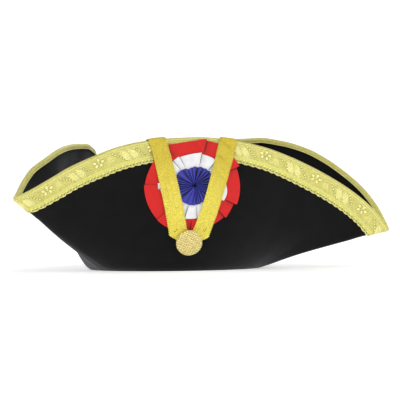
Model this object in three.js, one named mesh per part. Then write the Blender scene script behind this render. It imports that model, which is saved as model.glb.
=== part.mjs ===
// Tricorn hat: a one-piece black felt body with a crown and a brim turned up on three sides, a gold braid
// bound over the brim's edge, and on one panel a pleated red, white and blue rosette held by a V of gold
// ribbon and a round button. Millimetres, +Z up, the front tip toward -Y, the wearer's left toward +X.
// The hat lies as it would by itself, on the flat ring of felt round the head opening.

import * as THREE from 'three';

// Felt body
const tipReach = 232;         // from the crown's axis to the end of each tip
const brimHeight = 138;       // from the table to the top edge in the middle of a panel
const feltThickness = 2.5;
const headLength = 190;       // head opening, front to back
const headWidth = 168;        // head opening, side to side
const crownHeight = 112;
const crownFullness = 2.5;    // exponent of the dome's outline, 2 is an ellipse
const innerFillet = 1.5;      // fillet between the crown and the upper face of the brim
const restWidth = 3;          // flat ring that the hat rests on, outside the rounded lip

// Edge braid
const braidWidth = 22;        // on the outer face
const braidReturn = 3;        // on the inner face
const braidThickness = 1.2;

// Rosette, three pleated discs one on the other
const rosetteAzimuth = 54.3;  // degrees round from the front tip
const redRadius = 49;
const whiteRadius = 33.5;
const blueRadius = 19.3;
const discThickness = 1.2;
const redPleat = 0.9;
const whitePleat = 0.6;
const bluePleat = 0.5;
const rosetteBelowEdge = 1.5; // braid left bare above the rosette

// Ribbons and button
const ribbonWidth = 18.2;
const ribbonThickness = 0.8;
const ribbonAngle = 15.5;     // of each ribbon to the V's middle line, degrees
const ribbonTail = 22;        // turned down over the inner face
const veeLean = 3.3;          // of the V's middle line to the upright, degrees
const buttonRadius = 13.7;
const buttonRise = 9.4;       // from the felt to the top of the button's dome

// Clearances
const clearance = 0.3;        // between pieces that lie on each other
const drapeClearance = 0.5;   // under the rosette and the ribbons, which bend over what they lie on

// Shapes of the brim's section, from the middle of a tip (off 0 degrees) to the middle of a panel (60).
// Each section is one cubic curve: it leaves the flat ring toward the toe point and ends at the edge
// coming from the wall point. Out is a share of the run from the mean crown base to the tip, where the
// toe's starts at the crown base itself, and up is a share of brimHeight.
const frontTipSide = [
  { off: 0, edgeOut: 0.968, edgeUp: 0.545, toeOut: 0.103, toeUp: 0.030, wallOut: 0.506, wallUp: 0.243 },
  { off: 2.5, edgeOut: 0.892, edgeUp: 0.590, toeOut: 0.118, toeUp: 0.030, wallOut: 0.587, wallUp: 0.298 },
  { off: 6, edgeOut: 0.777, edgeUp: 0.672, toeOut: 0.118, toeUp: 0.038, wallOut: 0.557, wallUp: 0.363 },
  { off: 10, edgeOut: 0.637, edgeUp: 0.769, toeOut: 0.106, toeUp: 0.058, wallOut: 0.469, wallUp: 0.380 },
  { off: 15, edgeOut: 0.455, edgeUp: 0.858, toeOut: 0.090, toeUp: 0.078, wallOut: 0.380, wallUp: 0.352 },
  { off: 21, edgeOut: 0.319, edgeUp: 0.922, toeOut: 0.085, toeUp: 0.090, wallOut: 0.321, wallUp: 0.348 },
  { off: 30, edgeOut: 0.203, edgeUp: 0.964, toeOut: 0.068, toeUp: 0.097, wallOut: 0.309, wallUp: 0.356 },
  { off: 43, edgeOut: 0.108, edgeUp: 0.989, toeOut: 0.063, toeUp: 0.100, wallOut: 0.280, wallUp: 0.356 },
  { off: 60, edgeOut: 0.056, edgeUp: 0.999, toeOut: 0.063, toeUp: 0.079, wallOut: 0.285, wallUp: 0.356 },
];
const backTipSide = [
  { off: 0, edgeOut: 1.015, edgeUp: 0.294, toeOut: 0.108, toeUp: 0.037, wallOut: 0.506, wallUp: 0.181 },
  { off: 2.5, edgeOut: 0.913, edgeUp: 0.438, toeOut: 0.122, toeUp: 0.044, wallOut: 0.587, wallUp: 0.255 },
  { off: 6, edgeOut: 0.773, edgeUp: 0.575, toeOut: 0.122, toeUp: 0.063, wallOut: 0.557, wallUp: 0.324 },
  { off: 10, edgeOut: 0.629, edgeUp: 0.685, toeOut: 0.115, toeUp: 0.071, wallOut: 0.469, wallUp: 0.338 },
  { off: 15, edgeOut: 0.489, edgeUp: 0.778, toeOut: 0.108, toeUp: 0.071, wallOut: 0.387, wallUp: 0.338 },
  { off: 21, edgeOut: 0.370, edgeUp: 0.854, toeOut: 0.090, toeUp: 0.074, wallOut: 0.356, wallUp: 0.346 },
  { off: 30, edgeOut: 0.258, edgeUp: 0.922, toeOut: 0.074, toeUp: 0.079, wallOut: 0.344, wallUp: 0.364 },
  { off: 43, edgeOut: 0.121, edgeUp: 0.977, toeOut: 0.065, toeUp: 0.079, wallOut: 0.307, wallUp: 0.356 },
  { off: 60, edgeOut: 0.056, edgeUp: 0.999, toeOut: 0.063, toeUp: 0.079, wallOut: 0.285, wallUp: 0.356 },
];
const backTipBack = [
  { off: 0, edgeOut: 1.015, edgeUp: 0.294, toeOut: 0.108, toeUp: 0.037, wallOut: 0.506, wallUp: 0.181 },
  { off: 2.5, edgeOut: 0.926, edgeUp: 0.461, toeOut: 0.122, toeUp: 0.044, wallOut: 0.587, wallUp: 0.255 },
  { off: 6, edgeOut: 0.794, edgeUp: 0.625, toeOut: 0.122, toeUp: 0.063, wallOut: 0.557, wallUp: 0.324 },
  { off: 10, edgeOut: 0.658, edgeUp: 0.747, toeOut: 0.115, toeUp: 0.071, wallOut: 0.469, wallUp: 0.338 },
  { off: 15, edgeOut: 0.518, edgeUp: 0.855, toeOut: 0.108, toeUp: 0.071, wallOut: 0.387, wallUp: 0.338 },
  { off: 21, edgeOut: 0.383, edgeUp: 0.940, toeOut: 0.090, toeUp: 0.074, wallOut: 0.356, wallUp: 0.346 },
  { off: 30, edgeOut: 0.233, edgeUp: 1.006, toeOut: 0.074, toeUp: 0.079, wallOut: 0.344, wallUp: 0.364 },
  { off: 43, edgeOut: 0.100, edgeUp: 1.044, toeOut: 0.065, toeUp: 0.079, wallOut: 0.307, wallUp: 0.360 },
  { off: 60, edgeOut: 0.031, edgeUp: 1.044, toeOut: 0.063, toeUp: 0.079, wallOut: 0.295, wallUp: 0.364 },
];
const tips = [
  { azimuth: 0, before: frontTipSide, after: frontTipSide },
  { azimuth: 120, before: backTipSide, after: backTipBack },
  { azimuth: 240, before: backTipBack, after: backTipSide },
];

// Fineness of the faceted walls
const offTipSteps = [0, 1.2, 3, 5.5, 9, 13, 18, 24, 32, 41, 50];
const domeSteps = 6;
const lipSteps = 2;
const wallSteps = 6;          // from the braid to the flat ring
const wrapSteps = 4;          // round the brim's edge
const discSides = 36;
const foldSteps = 2;          // across the folded part of a disc
const buttonSides = 20;
const ribbonSteps = 26;       // from the V's point to the brim's edge
const tailSteps = 4;
const ribbonStrips = 2;
const normalStep = 0.02;      // for slopes, degrees and millimetres

const degrees = THREE.MathUtils.degToRad;
const lerp = THREE.MathUtils.lerp;
const smoothstep = THREE.MathUtils.smoothstep;

const lipRadius = feltThickness + innerFillet;
const ringWidth = lipRadius + restWidth;
const meanBase = (headLength + headWidth) / 4 + ringWidth;
const brimRun = tipReach - meanBase;
const braidTop = clearance + braidThickness;
const braidStops = [0, braidReturn, (braidReturn + braidWidth) / 2, braidWidth];
const turnHeight = braidTop + drapeClearance;   // of a ribbon's under face where it turns over the edge

// Smooth curve through a table's column that never overshoots and is level at both ends
function columnAt(rows, column, off) {
  const last = rows.length - 1;
  let k = 0;
  while (k < last - 1 && off > rows[k + 1].off) {
    k += 1;
  }
  const rise = (i) => (rows[i + 1][column] - rows[i][column]) / (rows[i + 1].off - rows[i].off);
  const slope = (i) => {
    if (i === 0 || i === last || rise(i - 1) * rise(i) <= 0) {
      return 0;
    }
    return 2 / (1 / rise(i - 1) + 1 / rise(i));
  };
  const span = rows[k + 1].off - rows[k].off;
  const t = (off - rows[k].off) / span;
  const start = (1 + 2 * t) * (1 - t) * (1 - t) * rows[k][column] + t * (1 - t) * (1 - t) * span * slope(k);
  const end = t * t * (3 - 2 * t) * rows[k + 1][column] - t * t * (1 - t) * span * slope(k + 1);
  return start + end;
}

function headRadius(azimuth) {
  const across = Math.sin(degrees(azimuth)) / (headWidth / 2);
  const along = Math.cos(degrees(azimuth)) / (headLength / 2);
  return 1 / Math.hypot(across, along);
}

// A point at a distance from the crown's axis, in the upright plane at an azimuth
function polar(azimuth, reach, height) {
  return new THREE.Vector3(reach * Math.sin(degrees(azimuth)), -reach * Math.cos(degrees(azimuth)), height);
}

// The under face of the brim at an azimuth, from the flat ring to the edge
function brimSection(azimuth) {
  const past = (tip) => THREE.MathUtils.euclideanModulo(azimuth - tip.azimuth + 180, 360) - 180;
  const nearest = tips.reduce((best, tip) => (Math.abs(past(tip)) < Math.abs(past(best)) ? tip : best));
  const rows = past(nearest) < 0 ? nearest.before : nearest.after;
  const share = (column) => columnAt(rows, column, Math.abs(past(nearest)));
  const base = headRadius(azimuth) + ringWidth;
  return new THREE.CubicBezierCurve(
    new THREE.Vector2(base, 0),
    new THREE.Vector2(base + share('toeOut') * brimRun, share('toeUp') * brimHeight),
    new THREE.Vector2(meanBase + share('wallOut') * brimRun, share('wallUp') * brimHeight),
    new THREE.Vector2(meanBase + share('edgeOut') * brimRun, share('edgeUp') * brimHeight),
  );
}

// Under face of the brim at a distance in from its edge, carried on straight past the edge
function underBrim(azimuth, fromEdge) {
  const section = brimSection(azimuth);
  const length = section.getLength();
  const inside = Math.max(fromEdge, 0);
  const flat = section.getPointAt(Math.max(1 - inside / length, 0));
  const past = Math.min(fromEdge, 0);
  const point = flat.addScaledVector(section.getTangent(1), -past);
  return polar(azimuth, point.x, point.y);
}

// Facing out of the felt on its under face, from the slopes of a surface over azimuth and distance
function outward(surface, azimuth, along) {
  const around = surface(azimuth + normalStep, along).sub(surface(azimuth - normalStep, along));
  const inward = surface(azimuth, along + normalStep).sub(surface(azimuth, along - normalStep));
  return inward.cross(around).normalize();
}

// How far the braid is turned round the edge before it lies on the inner face
function wrapLength(height) {
  return Math.PI * (feltThickness / 2 + height);
}

// A point at a height over the felt, on a path that comes up the outer face, turns round the brim's edge
// (where the distance from the edge becomes negative) and goes down the inner face. The turn is as long
// as it is at the height given last.
function overEdge(azimuth, fromEdge, height, turnedAt = height) {
  const radius = feltThickness / 2 + height;
  const turned = -fromEdge - wrapLength(turnedAt);
  const depth = Math.max(fromEdge, turned, 0);
  const face = outward(underBrim, azimuth, Math.max(depth, normalStep));
  const point = underBrim(azimuth, depth);
  if (fromEdge >= 0) {
    return point.addScaledVector(face, height);
  }
  if (turned >= 0) {
    return point.addScaledVector(face, -feltThickness - height);
  }
  const past = underBrim(azimuth, -1).sub(underBrim(azimuth, 0));
  past.addScaledVector(face, -past.dot(face)).normalize();
  const angle = Math.PI * -fromEdge / wrapLength(turnedAt);
  point.addScaledVector(face, -feltThickness / 2);
  point.addScaledVector(face, radius * Math.cos(angle));
  return point.addScaledVector(past, radius * Math.sin(angle));
}

// A width square to the edge, measured along the upright section instead
function alongSection(azimuth, width) {
  const edge = underBrim(azimuth + normalStep, 0).sub(underBrim(azimuth - normalStep, 0)).normalize();
  const section = underBrim(azimuth, 1).sub(underBrim(azimuth, 0)).normalize();
  return width / edge.cross(section).length();
}

function azimuthSteps() {
  const steps = [];
  for (const tip of tips) {
    for (const off of offTipSteps) {
      steps.push(tip.azimuth + off);
    }
    steps.push(tip.azimuth + 60);
    for (const off of offTipSteps.slice(1).reverse()) {
      steps.push(tip.azimuth + 120 - off);
    }
  }
  return steps;
}

function solidFrom(points, triangles) {
  const geometry = new THREE.BufferGeometry();
  const numbers = points.flatMap((point) => point.toArray());
  geometry.setAttribute('position', new THREE.Float32BufferAttribute(numbers, 3));
  geometry.setIndex(triangles);
  geometry.computeVertexNormals();
  return geometry;
}

function quad(triangles, a, b, c, d) {
  triangles.push(a, b, c, a, c, d);
}

// Joins ring r of points to ring s. Each ring is {points, place}, and the quads are split the same way
// whichever way the place runs, so that faces that lie over each other stay parallel.
function joinRings(triangles, rings, r, s) {
  const count = rings[r].points.length;
  for (let i = 0; i < count; i += 1) {
    const j = (i + 1) % count;
    const corners = [r * count + i, r * count + j, s * count + j, s * count + i];
    if (rings[s].place < rings[r].place) {
      corners.push(corners.shift());
    }
    quad(triangles, ...corners);
  }
}

// Closed skin of rings round an axis, the first and last closed on a pole
function skinOfRings(rings, firstPole, lastPole) {
  const count = rings[0].points.length;
  const points = rings.flatMap((ring) => ring.points);
  const triangles = [];
  for (let r = 0; r + 1 < rings.length; r += 1) {
    joinRings(triangles, rings, r, r + 1);
  }
  const first = points.push(firstPole) - 1;
  const last = points.push(lastPole) - 1;
  const top = (rings.length - 1) * count;
  for (let i = 0; i < count; i += 1) {
    const j = (i + 1) % count;
    triangles.push(first, j, i);
    triangles.push(last, top + i, top + j);
  }
  return solidFrom(points, triangles);
}

// Closed band: rings round an axis, the last joined back to the first
function skinOfBand(rings) {
  const triangles = [];
  for (let r = 0; r < rings.length; r += 1) {
    joinRings(triangles, rings, r, (r + 1) % rings.length);
  }
  return solidFrom(rings.flatMap((ring) => ring.points), triangles);
}

// Closed strip: each row is a loop round the strip's section, and both ends are closed flat
function skinOfStrip(rows) {
  const count = rows[0].length;
  const triangles = [];
  for (let r = 0; r + 1 < rows.length; r += 1) {
    for (let i = 0; i < count; i += 1) {
      const j = (i + 1) % count;
      quad(triangles, r * count + i, r * count + j, (r + 1) * count + j, (r + 1) * count + i);
    }
  }
  const end = (rows.length - 1) * count;
  for (let i = 0; i + 1 < count / 2; i += 1) {
    const across = count - 1 - i;
    quad(triangles, i + 1, i, across, across - 1);
    quad(triangles, end + i, end + i + 1, end + across - 1, end + across);
  }
  return solidFrom(rows.flat(), triangles);
}

// The crown's inner face: share 0 at the rounded lip, 1 at the top
function insideCrown(azimuth, share) {
  const angle = share * Math.PI / 2;
  const rise = crownHeight - feltThickness - lipRadius;
  const reach = headRadius(azimuth) * Math.cos(angle) ** (2 / crownFullness);
  return polar(azimuth, reach, lipRadius + rise * Math.sin(angle) ** (2 / crownFullness));
}

// The rounded lip of the head opening: share 0 at the flat ring, 1 at the crown
function lip(azimuth, share) {
  const angle = share * Math.PI / 2;
  const reach = headRadius(azimuth) + lipRadius * (1 - Math.sin(angle));
  return polar(azimuth, reach, lipRadius * (1 - Math.cos(angle)));
}

function feltBody() {
  const azimuths = azimuthSteps();
  const under = [];
  const upper = [];
  const addRing = (surface, alongAt) => {
    const place = -under.length;
    under.push({ place, points: azimuths.map((azimuth) => surface(azimuth, alongAt(azimuth))) });
    upper.push({ place, points: azimuths.map((azimuth) => {
      const along = alongAt(azimuth);
      return surface(azimuth, along).addScaledVector(outward(surface, azimuth, along), -feltThickness);
    }) });
  };
  for (const stop of braidStops) {
    addRing(underBrim, (azimuth) => Math.max(alongSection(azimuth, stop), normalStep));
  }
  for (let k = 1; k < wallSteps; k += 1) {
    const from = (azimuth) => alongSection(azimuth, braidWidth);
    addRing(underBrim, (azimuth) => lerp(from(azimuth), brimSection(azimuth).getLength(), k / wallSteps));
  }
  const level = (azimuth, inward) => polar(azimuth, headRadius(azimuth) + ringWidth - inward, 0);
  addRing(level, () => 0);
  for (let k = 0; k <= lipSteps; k += 1) {
    addRing(lip, () => k / lipSteps);
  }
  for (let k = 1; k < domeSteps; k += 1) {
    addRing(insideCrown, () => k / domeSteps);
  }
  const innerTop = new THREE.Vector3(0, 0, crownHeight - feltThickness);
  return skinOfRings([...under.reverse(), ...upper], innerTop, new THREE.Vector3(0, 0, crownHeight));
}

function edgeBraid() {
  const azimuths = azimuthSteps();
  const section = (height) => {
    const stops = [];
    for (const width of [...braidStops].reverse()) {
      stops.push({ width, turned: 0, place: -width });
    }
    for (let k = 1; k <= wrapSteps; k += 1) {
      const share = k / wrapSteps;
      stops.push({ width: 0, turned: wrapLength(height) * share, place: 1 - Math.abs(share - 0.5) });
    }
    stops.push({ width: -braidReturn, turned: wrapLength(height), place: -braidReturn });
    return stops.map((stop) => ({
      place: stop.place,
      points: azimuths.map((azimuth) => {
        const width = Math.sign(stop.width) * alongSection(azimuth, Math.abs(stop.width));
        return overEdge(azimuth, width - stop.turned, height);
      }),
    }));
  };
  return skinOfBand([...section(braidTop), ...section(clearance).reverse()]);
}

// The panel that carries the rosette, laid out flat from the rosette's middle: right and up over the wall
const rosetteDepth = redRadius + rosetteBelowEdge;
const middle = underBrim(rosetteAzimuth, rosetteDepth);
const middleOut = outward(underBrim, rosetteAzimuth, rosetteDepth);
const right = new THREE.Vector3(0, 0, 1).cross(middleOut).normalize();
const up = middleOut.clone().cross(right);

// Azimuth and distance from the edge of the place on the wall that lies right and up of the middle
function placeOnPanel(rightward, upward) {
  const place = { azimuth: rosetteAzimuth, fromEdge: rosetteDepth - upward };
  for (let k = 0; k < 12; k += 1) {
    const offset = underBrim(place.azimuth, place.fromEdge).sub(middle);
    const reach = Math.hypot(offset.x + middle.x, offset.y + middle.y);
    place.azimuth += THREE.MathUtils.radToDeg((rightward - offset.dot(right)) / reach);
    place.fromEdge -= upward - offset.dot(up);
  }
  return place;
}

// Extra height where the braid lies under a piece, on both faces of the brim
function overBraid(azimuth, fromEdge) {
  const outer = 1 - smoothstep(fromEdge - alongSection(azimuth, braidWidth), 5, 17);
  const inner = 1 - smoothstep(-fromEdge - wrapLength(turnHeight), braidReturn + 2, braidReturn + 8);
  return braidTop * Math.min(outer, inner);
}

function onPanel(rightward, upward, height) {
  const place = placeOnPanel(rightward, upward);
  const lifted = height + overBraid(place.azimuth, place.fromEdge);
  return overEdge(place.azimuth, place.fromEdge, lifted, turnHeight);
}

const discs = [
  { name: 'rosette_red', radius: redRadius, above: whiteRadius, pleat: redPleat, pleats: 9, level: 0 },
  { name: 'rosette_white', radius: whiteRadius, above: blueRadius, pleat: whitePleat, pleats: 12, level: 1 },
  { name: 'rosette_blue', radius: blueRadius, above: 0, pleat: bluePleat, pleats: 18, level: 2 },
];

// A pleated disc: flat where the next disc lies on it, with folds lying over in turn outside that
function pleatedDisc(disc) {
  const bottom = drapeClearance + disc.level * (discThickness + clearance);
  const plain = () => bottom + discThickness;
  const folded = (angle) => {
    const turn = angle / (2 * Math.PI) * disc.pleats;
    return plain() + disc.pleat * (1 - (turn - Math.floor(turn)));
  };
  const ringAt = (radius, heightAt) => {
    const points = [];
    for (let i = 0; i < discSides; i += 1) {
      const angle = 2 * Math.PI * i / discSides;
      points.push(onPanel(radius * Math.cos(angle), radius * Math.sin(angle), heightAt(angle)));
    }
    return { points, place: radius };
  };
  const covered = [blueRadius / 2, blueRadius, (blueRadius + whiteRadius) / 2, whiteRadius]
    .filter((radius) => radius <= disc.above);
  const free = [];
  for (let k = 1; k <= foldSteps; k += 1) {
    free.push(lerp(disc.above, disc.radius, k / foldSteps));
  }
  const rings = [...covered, ...free].map((radius) => ringAt(radius, () => bottom));
  rings.push(...free.reverse().map((radius) => ringAt(radius, folded)));
  rings.push(...covered.reverse().map((radius) => ringAt(radius, plain)));
  return skinOfRings(rings, onPanel(0, 0, bottom), onPanel(0, 0, plain()));
}

// Height that a ribbon takes over the pile of discs, eased outside each disc's edge
function overRosette(distance) {
  const step = (radius, rise) => rise * (1 - smoothstep(distance, radius + 3, radius + 9));
  const red = step(redRadius, discThickness + redPleat + drapeClearance);
  const white = step(whiteRadius, discThickness + whitePleat - redPleat + clearance);
  const blue = step(blueRadius, discThickness + bluePleat - whitePleat + clearance);
  return red + white + blue;
}

const buttonBelow = 55.8;     // the V's point and the button's middle, under the rosette's middle
const buttonAside = 4.8;
const ribbonGap = 0.2;        // from each ribbon to the V's middle line
const ribbonPoint = 6.6;      // the V's cut end, below its point
const ribbonCorner = 10.3;    // the outer corner of the cut end, above the V's point

// From the V's own layout, right and up of its point, to the panel's
function fromVee(rightward, upward) {
  const lean = degrees(veeLean);
  return new THREE.Vector2(
    -buttonAside + rightward * Math.cos(lean) + upward * Math.sin(lean),
    -buttonBelow - rightward * Math.sin(lean) + upward * Math.cos(lean),
  );
}

// One leg of the V: side -1 is the left one, 1 the right one
function ribbon(side) {
  const slope = Math.tan(degrees(ribbonAngle));
  const across = ribbonWidth / Math.cos(degrees(ribbonAngle));
  const strips = [];
  for (let i = 0; i <= ribbonStrips; i += 1) {
    const share = i / ribbonStrips;
    strips.push({ foot: lerp(-ribbonPoint, ribbonCorner, share), offset: lerp(ribbonGap, across, share) });
  }
  const spotOn = (strip, upward) => fromVee(side * (strip.offset + slope * Math.max(upward, 0)), upward);
  const upwardTo = (strip, fromEdge) => {
    let upward = buttonBelow + rosetteDepth - fromEdge;
    for (let k = 0; k < 8; k += 1) {
      const spot = spotOn(strip, upward);
      upward += placeOnPanel(spot.x, spot.y).fromEdge - fromEdge;
    }
    return upward;
  };
  const rows = [];
  const addRow = (upwardOf) => {
    const low = [];
    const high = [];
    for (const strip of strips) {
      const spot = spotOn(strip, upwardOf(strip));
      const height = drapeClearance + overRosette(spot.length());
      low.push(onPanel(spot.x, spot.y, height));
      high.push(onPanel(spot.x, spot.y, height + ribbonThickness));
    }
    const loop = [...low, ...high.reverse()];
    rows.push(side < 0 ? loop : loop.reverse());
  };
  for (let k = 0; k < ribbonSteps; k += 1) {
    addRow((strip) => lerp(strip.foot, upwardTo(strip, 0), k / ribbonSteps));
  }
  for (let k = 0; k < wrapSteps; k += 1) {
    addRow((strip) => upwardTo(strip, -wrapLength(turnHeight) * k / wrapSteps));
  }
  for (let k = 0; k <= tailSteps; k += 1) {
    addRow((strip) => upwardTo(strip, -wrapLength(turnHeight) - ribbonTail * k / tailSteps));
  }
  return skinOfStrip(rows);
}

// The button stands on the crossing of the ribbons: a narrow foot, a back that rises to the rim, a low dome
const buttonFoot = 0.2;
const buttonProfile = [
  { radius: 0, height: 0 },
  { radius: buttonFoot, height: 0 },
  { radius: 0.6, height: 0.12 },
  { radius: 0.96, height: 0.2 },
  { radius: 1, height: 0.32 },
  { radius: 0.94, height: 0.6 },
  { radius: 0.75, height: 0.83 },
  { radius: 0.45, height: 0.96 },
  { radius: 0, height: 1 },
];

function buttonMesh(material) {
  const nearest = Math.hypot(buttonAside, buttonBelow) - buttonFoot * buttonRadius;
  const foot = drapeClearance + overRosette(nearest) + ribbonThickness + clearance;
  const outline = buttonProfile.map((row) => new THREE.Vector2(
    row.radius * buttonRadius,
    foot + row.height * (buttonRise - foot),
  ));
  const mesh = new THREE.Mesh(new THREE.LatheGeometry(outline, buttonSides), material);
  const place = placeOnPanel(-buttonAside, -buttonBelow);
  const out = outward(underBrim, place.azimuth, place.fromEdge);
  mesh.position.copy(underBrim(place.azimuth, place.fromEdge));
  mesh.quaternion.setFromUnitVectors(new THREE.Vector3(0, 1, 0), out);
  mesh.name = 'button';
  return mesh;
}

function cloth(colour, roughness, metalness) {
  return new THREE.MeshStandardMaterial({ color: colour, roughness, metalness });
}

const felt = cloth(0x1d1d1f, 0.95, 0);
const goldBraid = cloth(0xdfd070, 0.5, 0.25);
const goldRibbon = cloth(0xe0cc40, 0.5, 0.2);
const buttonGold = cloth(0xe0c47a, 0.45, 0.35);
const discCloths = [cloth(0xe1302c, 0.6, 0), cloth(0xf1f1f3, 0.6, 0), cloth(0x3c41aa, 0.6, 0)];

function named(name, geometry, material) {
  const mesh = new THREE.Mesh(geometry, material);
  mesh.name = name;
  return mesh;
}

const hat = new THREE.Group();
hat.add(named('felt_body', feltBody(), felt));
hat.add(named('edge_braid', edgeBraid(), goldBraid));
for (const disc of discs) {
  hat.add(named(disc.name, pleatedDisc(disc), discCloths[disc.level]));
}
hat.add(named('ribbon_left', ribbon(-1), goldRibbon));
hat.add(named('ribbon_right', ribbon(1), goldRibbon));
hat.add(buttonMesh(buttonGold));

// The origin is under the middle of the hat's outline, on the surface that it rests on
const box = new THREE.Box3().setFromObject(hat, true);
const centre = box.getCenter(new THREE.Vector3());
hat.position.set(-centre.x, -centre.y, 0);

const group = new THREE.Group();
group.add(hat);

export default group;
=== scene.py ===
# Tricorn hat: black felt turned up on three sides, gold braid over its edge, a pleated rosette, a V of
# gold ribbon and a round button. Metres, +Z up, the front tip toward -Y, the wearer's left toward +X.

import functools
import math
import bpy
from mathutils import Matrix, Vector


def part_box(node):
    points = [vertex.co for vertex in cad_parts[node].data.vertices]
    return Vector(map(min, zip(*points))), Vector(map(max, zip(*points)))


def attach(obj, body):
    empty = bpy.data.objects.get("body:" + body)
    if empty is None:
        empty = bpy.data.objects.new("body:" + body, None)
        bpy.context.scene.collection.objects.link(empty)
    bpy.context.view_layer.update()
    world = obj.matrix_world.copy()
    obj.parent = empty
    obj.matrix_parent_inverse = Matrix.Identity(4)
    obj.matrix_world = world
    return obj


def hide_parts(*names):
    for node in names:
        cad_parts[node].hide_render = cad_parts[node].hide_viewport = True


bl_info = {
    "name": "Tricorn hat",
    "version": (1, 0, 0),
    "blender": (4, 5, 0),
    "location": "3D View > Sidebar > Tricorn",
    "description": "Builds a braided tricorn hat with its pleated rosette, ribbons and button",
    "category": "Object",
}

import bpy
import numpy as np
from mathutils import Matrix, Vector

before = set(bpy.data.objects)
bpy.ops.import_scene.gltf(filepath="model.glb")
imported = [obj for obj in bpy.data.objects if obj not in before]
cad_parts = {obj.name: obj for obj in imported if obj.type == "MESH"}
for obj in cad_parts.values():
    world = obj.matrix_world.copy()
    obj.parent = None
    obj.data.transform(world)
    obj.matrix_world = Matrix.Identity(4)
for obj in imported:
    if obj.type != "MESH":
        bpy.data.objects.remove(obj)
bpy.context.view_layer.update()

MM = 0.001


# Sizes and colours that a user would change

def length(name, default, description):
    return bpy.props.FloatProperty(name=name, default=default, description=description, unit="LENGTH",
                                   precision=5)


def colour(name, default, description):
    return bpy.props.FloatVectorProperty(name=name, default=default, description=description,
                                         subtype="COLOR", size=3, min=0, max=1)


class FeltSizes(bpy.types.PropertyGroup):
    """The one-piece felt body"""
    tip_reach: length("Tip reach", 0.232, "From the crown's axis to the end of each tip")
    brim_height: length("Brim height", 0.138, "From the table to the edge in the middle of a panel")
    thickness: length("Felt thickness", 0.0025, "Thickness of the felt")
    head_length: length("Head length", 0.190, "Head opening, front to back")
    head_width: length("Head width", 0.168, "Head opening, side to side")
    crown_height: length("Crown height", 0.112, "From the table to the top of the crown")
    fillet: length("Inner fillet", 0.0015, "Fillet between the crown and the brim's upper face")
    rest_width: length("Rest width", 0.003, "Flat ring that the hat rests on")
    unevenness: length("Unevenness", 0.0005, "Height of the slow waves of a hand-shaped felt")
    black: colour("Felt black", (0.0054, 0.0054, 0.0058), "Colour of the felt")


class BraidSizes(bpy.types.PropertyGroup):
    """The woven braid bound over the brim's edge"""
    width: length("Braid width", 0.022, "Width on the outer face")
    inner: length("Inner width", 0.003, "Width on the inner face")
    lift: length("Lift", 0.0003, "Gap between the felt and the braid")
    ground: length("Ground thickness", 0.0008, "Thickness of the woven ground")
    repeat: length("Repeat", 0.0623, "Length of one repeat of the woven pattern, about")
    phase: length("Phase", 0.0255, "Shift of the pattern along the edge")
    gold: colour("Thread gold", (1.0, 0.94, 0.37), "Colour of the raised threads")
    olive: colour("Ground gold", (0.72, 0.67, 0.14), "Colour of the woven ground")


class RosetteSizes(bpy.types.PropertyGroup):
    """Three pleated discs of ribbon"""
    azimuth: bpy.props.FloatProperty(name="Azimuth", default=54.3, unit="NONE",
                                     description="Place of its middle, degrees round from the front tip")
    below_edge: length("Below the edge", 0.0015, "Braid left bare above the rosette")
    red_radius: length("Red radius", 0.049, "Outer radius of the red disc")
    white_radius: length("White radius", 0.0335, "Outer radius of the white disc")
    blue_radius: length("Blue radius", 0.0193, "Outer radius of the blue disc")
    cloth: length("Ribbon thickness", 0.0004, "Thickness of the pleated ribbon")
    red: colour("Red", (0.67, 0.010, 0.008), "Colour of the red disc")
    white: colour("White", (0.86, 0.86, 0.87), "Colour of the white disc")
    blue: colour("Blue", (0.042, 0.048, 0.40), "Colour of the blue disc")


class RibbonSizes(bpy.types.PropertyGroup):
    """The two legs of the gold V"""
    width: length("Ribbon width", 0.0182, "Width of each ribbon")
    thickness: length("Ribbon thickness", 0.0006, "Thickness of each ribbon")
    angle: bpy.props.FloatProperty(name="Half angle", default=15.5, description="Degrees, of each leg")
    lean: bpy.props.FloatProperty(name="Lean", default=3.3, description="Degrees, of the V's middle line")
    tail: length("Tail", 0.022, "Turned down over the inner face")
    below: length("Below", 0.0558, "The V's point, under the rosette's middle")
    aside: length("Aside", 0.0048, "The V's point, toward the front from the rosette's middle")
    point: length("Point", 0.0066, "The V's cut end, below its point")
    corner: length("Corner", 0.0103, "Outer corner of the cut end, above the V's point")
    rib: length("Rib", 0.0011, "Pitch of the cross ribs")
    gold: colour("Ribbon gold", (0.79, 0.67, 0.08), "Colour of the ribbons")


class ButtonSizes(bpy.types.PropertyGroup):
    """The thread-covered button"""
    radius: length("Button radius", 0.0137, "Radius of the button")
    rise: length("Button rise", 0.0094, "From the felt to the top of the dome")
    thread: length("Thread pitch", 0.0017, "Pitch of the woven rows")
    gold: colour("Button gold", (1.0, 0.82, 0.30), "Colour of the button's threads")


class StageSizes(bpy.types.PropertyGroup):
    """The camera's place, aim and lens"""
    azimuth: bpy.props.FloatProperty(name="Camera azimuth", default=45.0, description="Degrees round")
    distance: length("Camera distance", 1.725, "From the crown's axis to the camera")
    height: length("Camera height", 0.0571, "Of the camera above the table")
    tilt: bpy.props.FloatProperty(name="Tilt", default=0.573, description="Degrees that it looks up")
    roll: bpy.props.FloatProperty(name="Roll", default=-0.5, description="Degrees")
    focal: bpy.props.FloatProperty(name="Focal length", default=1558.5,
                                   description="In widths of a pixel of the photograph")
    frame_width: bpy.props.FloatProperty(name="Frame", default=400.0, description="Pixels of the photograph")
    axis_x: bpy.props.FloatProperty(name="Axis column", default=175.4,
                                    description="Pixel column where the crown's axis is drawn")
    middle_y: bpy.props.FloatProperty(name="Middle row", default=201.0,
                                      description="Pixel row of the camera's optical axis")


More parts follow.
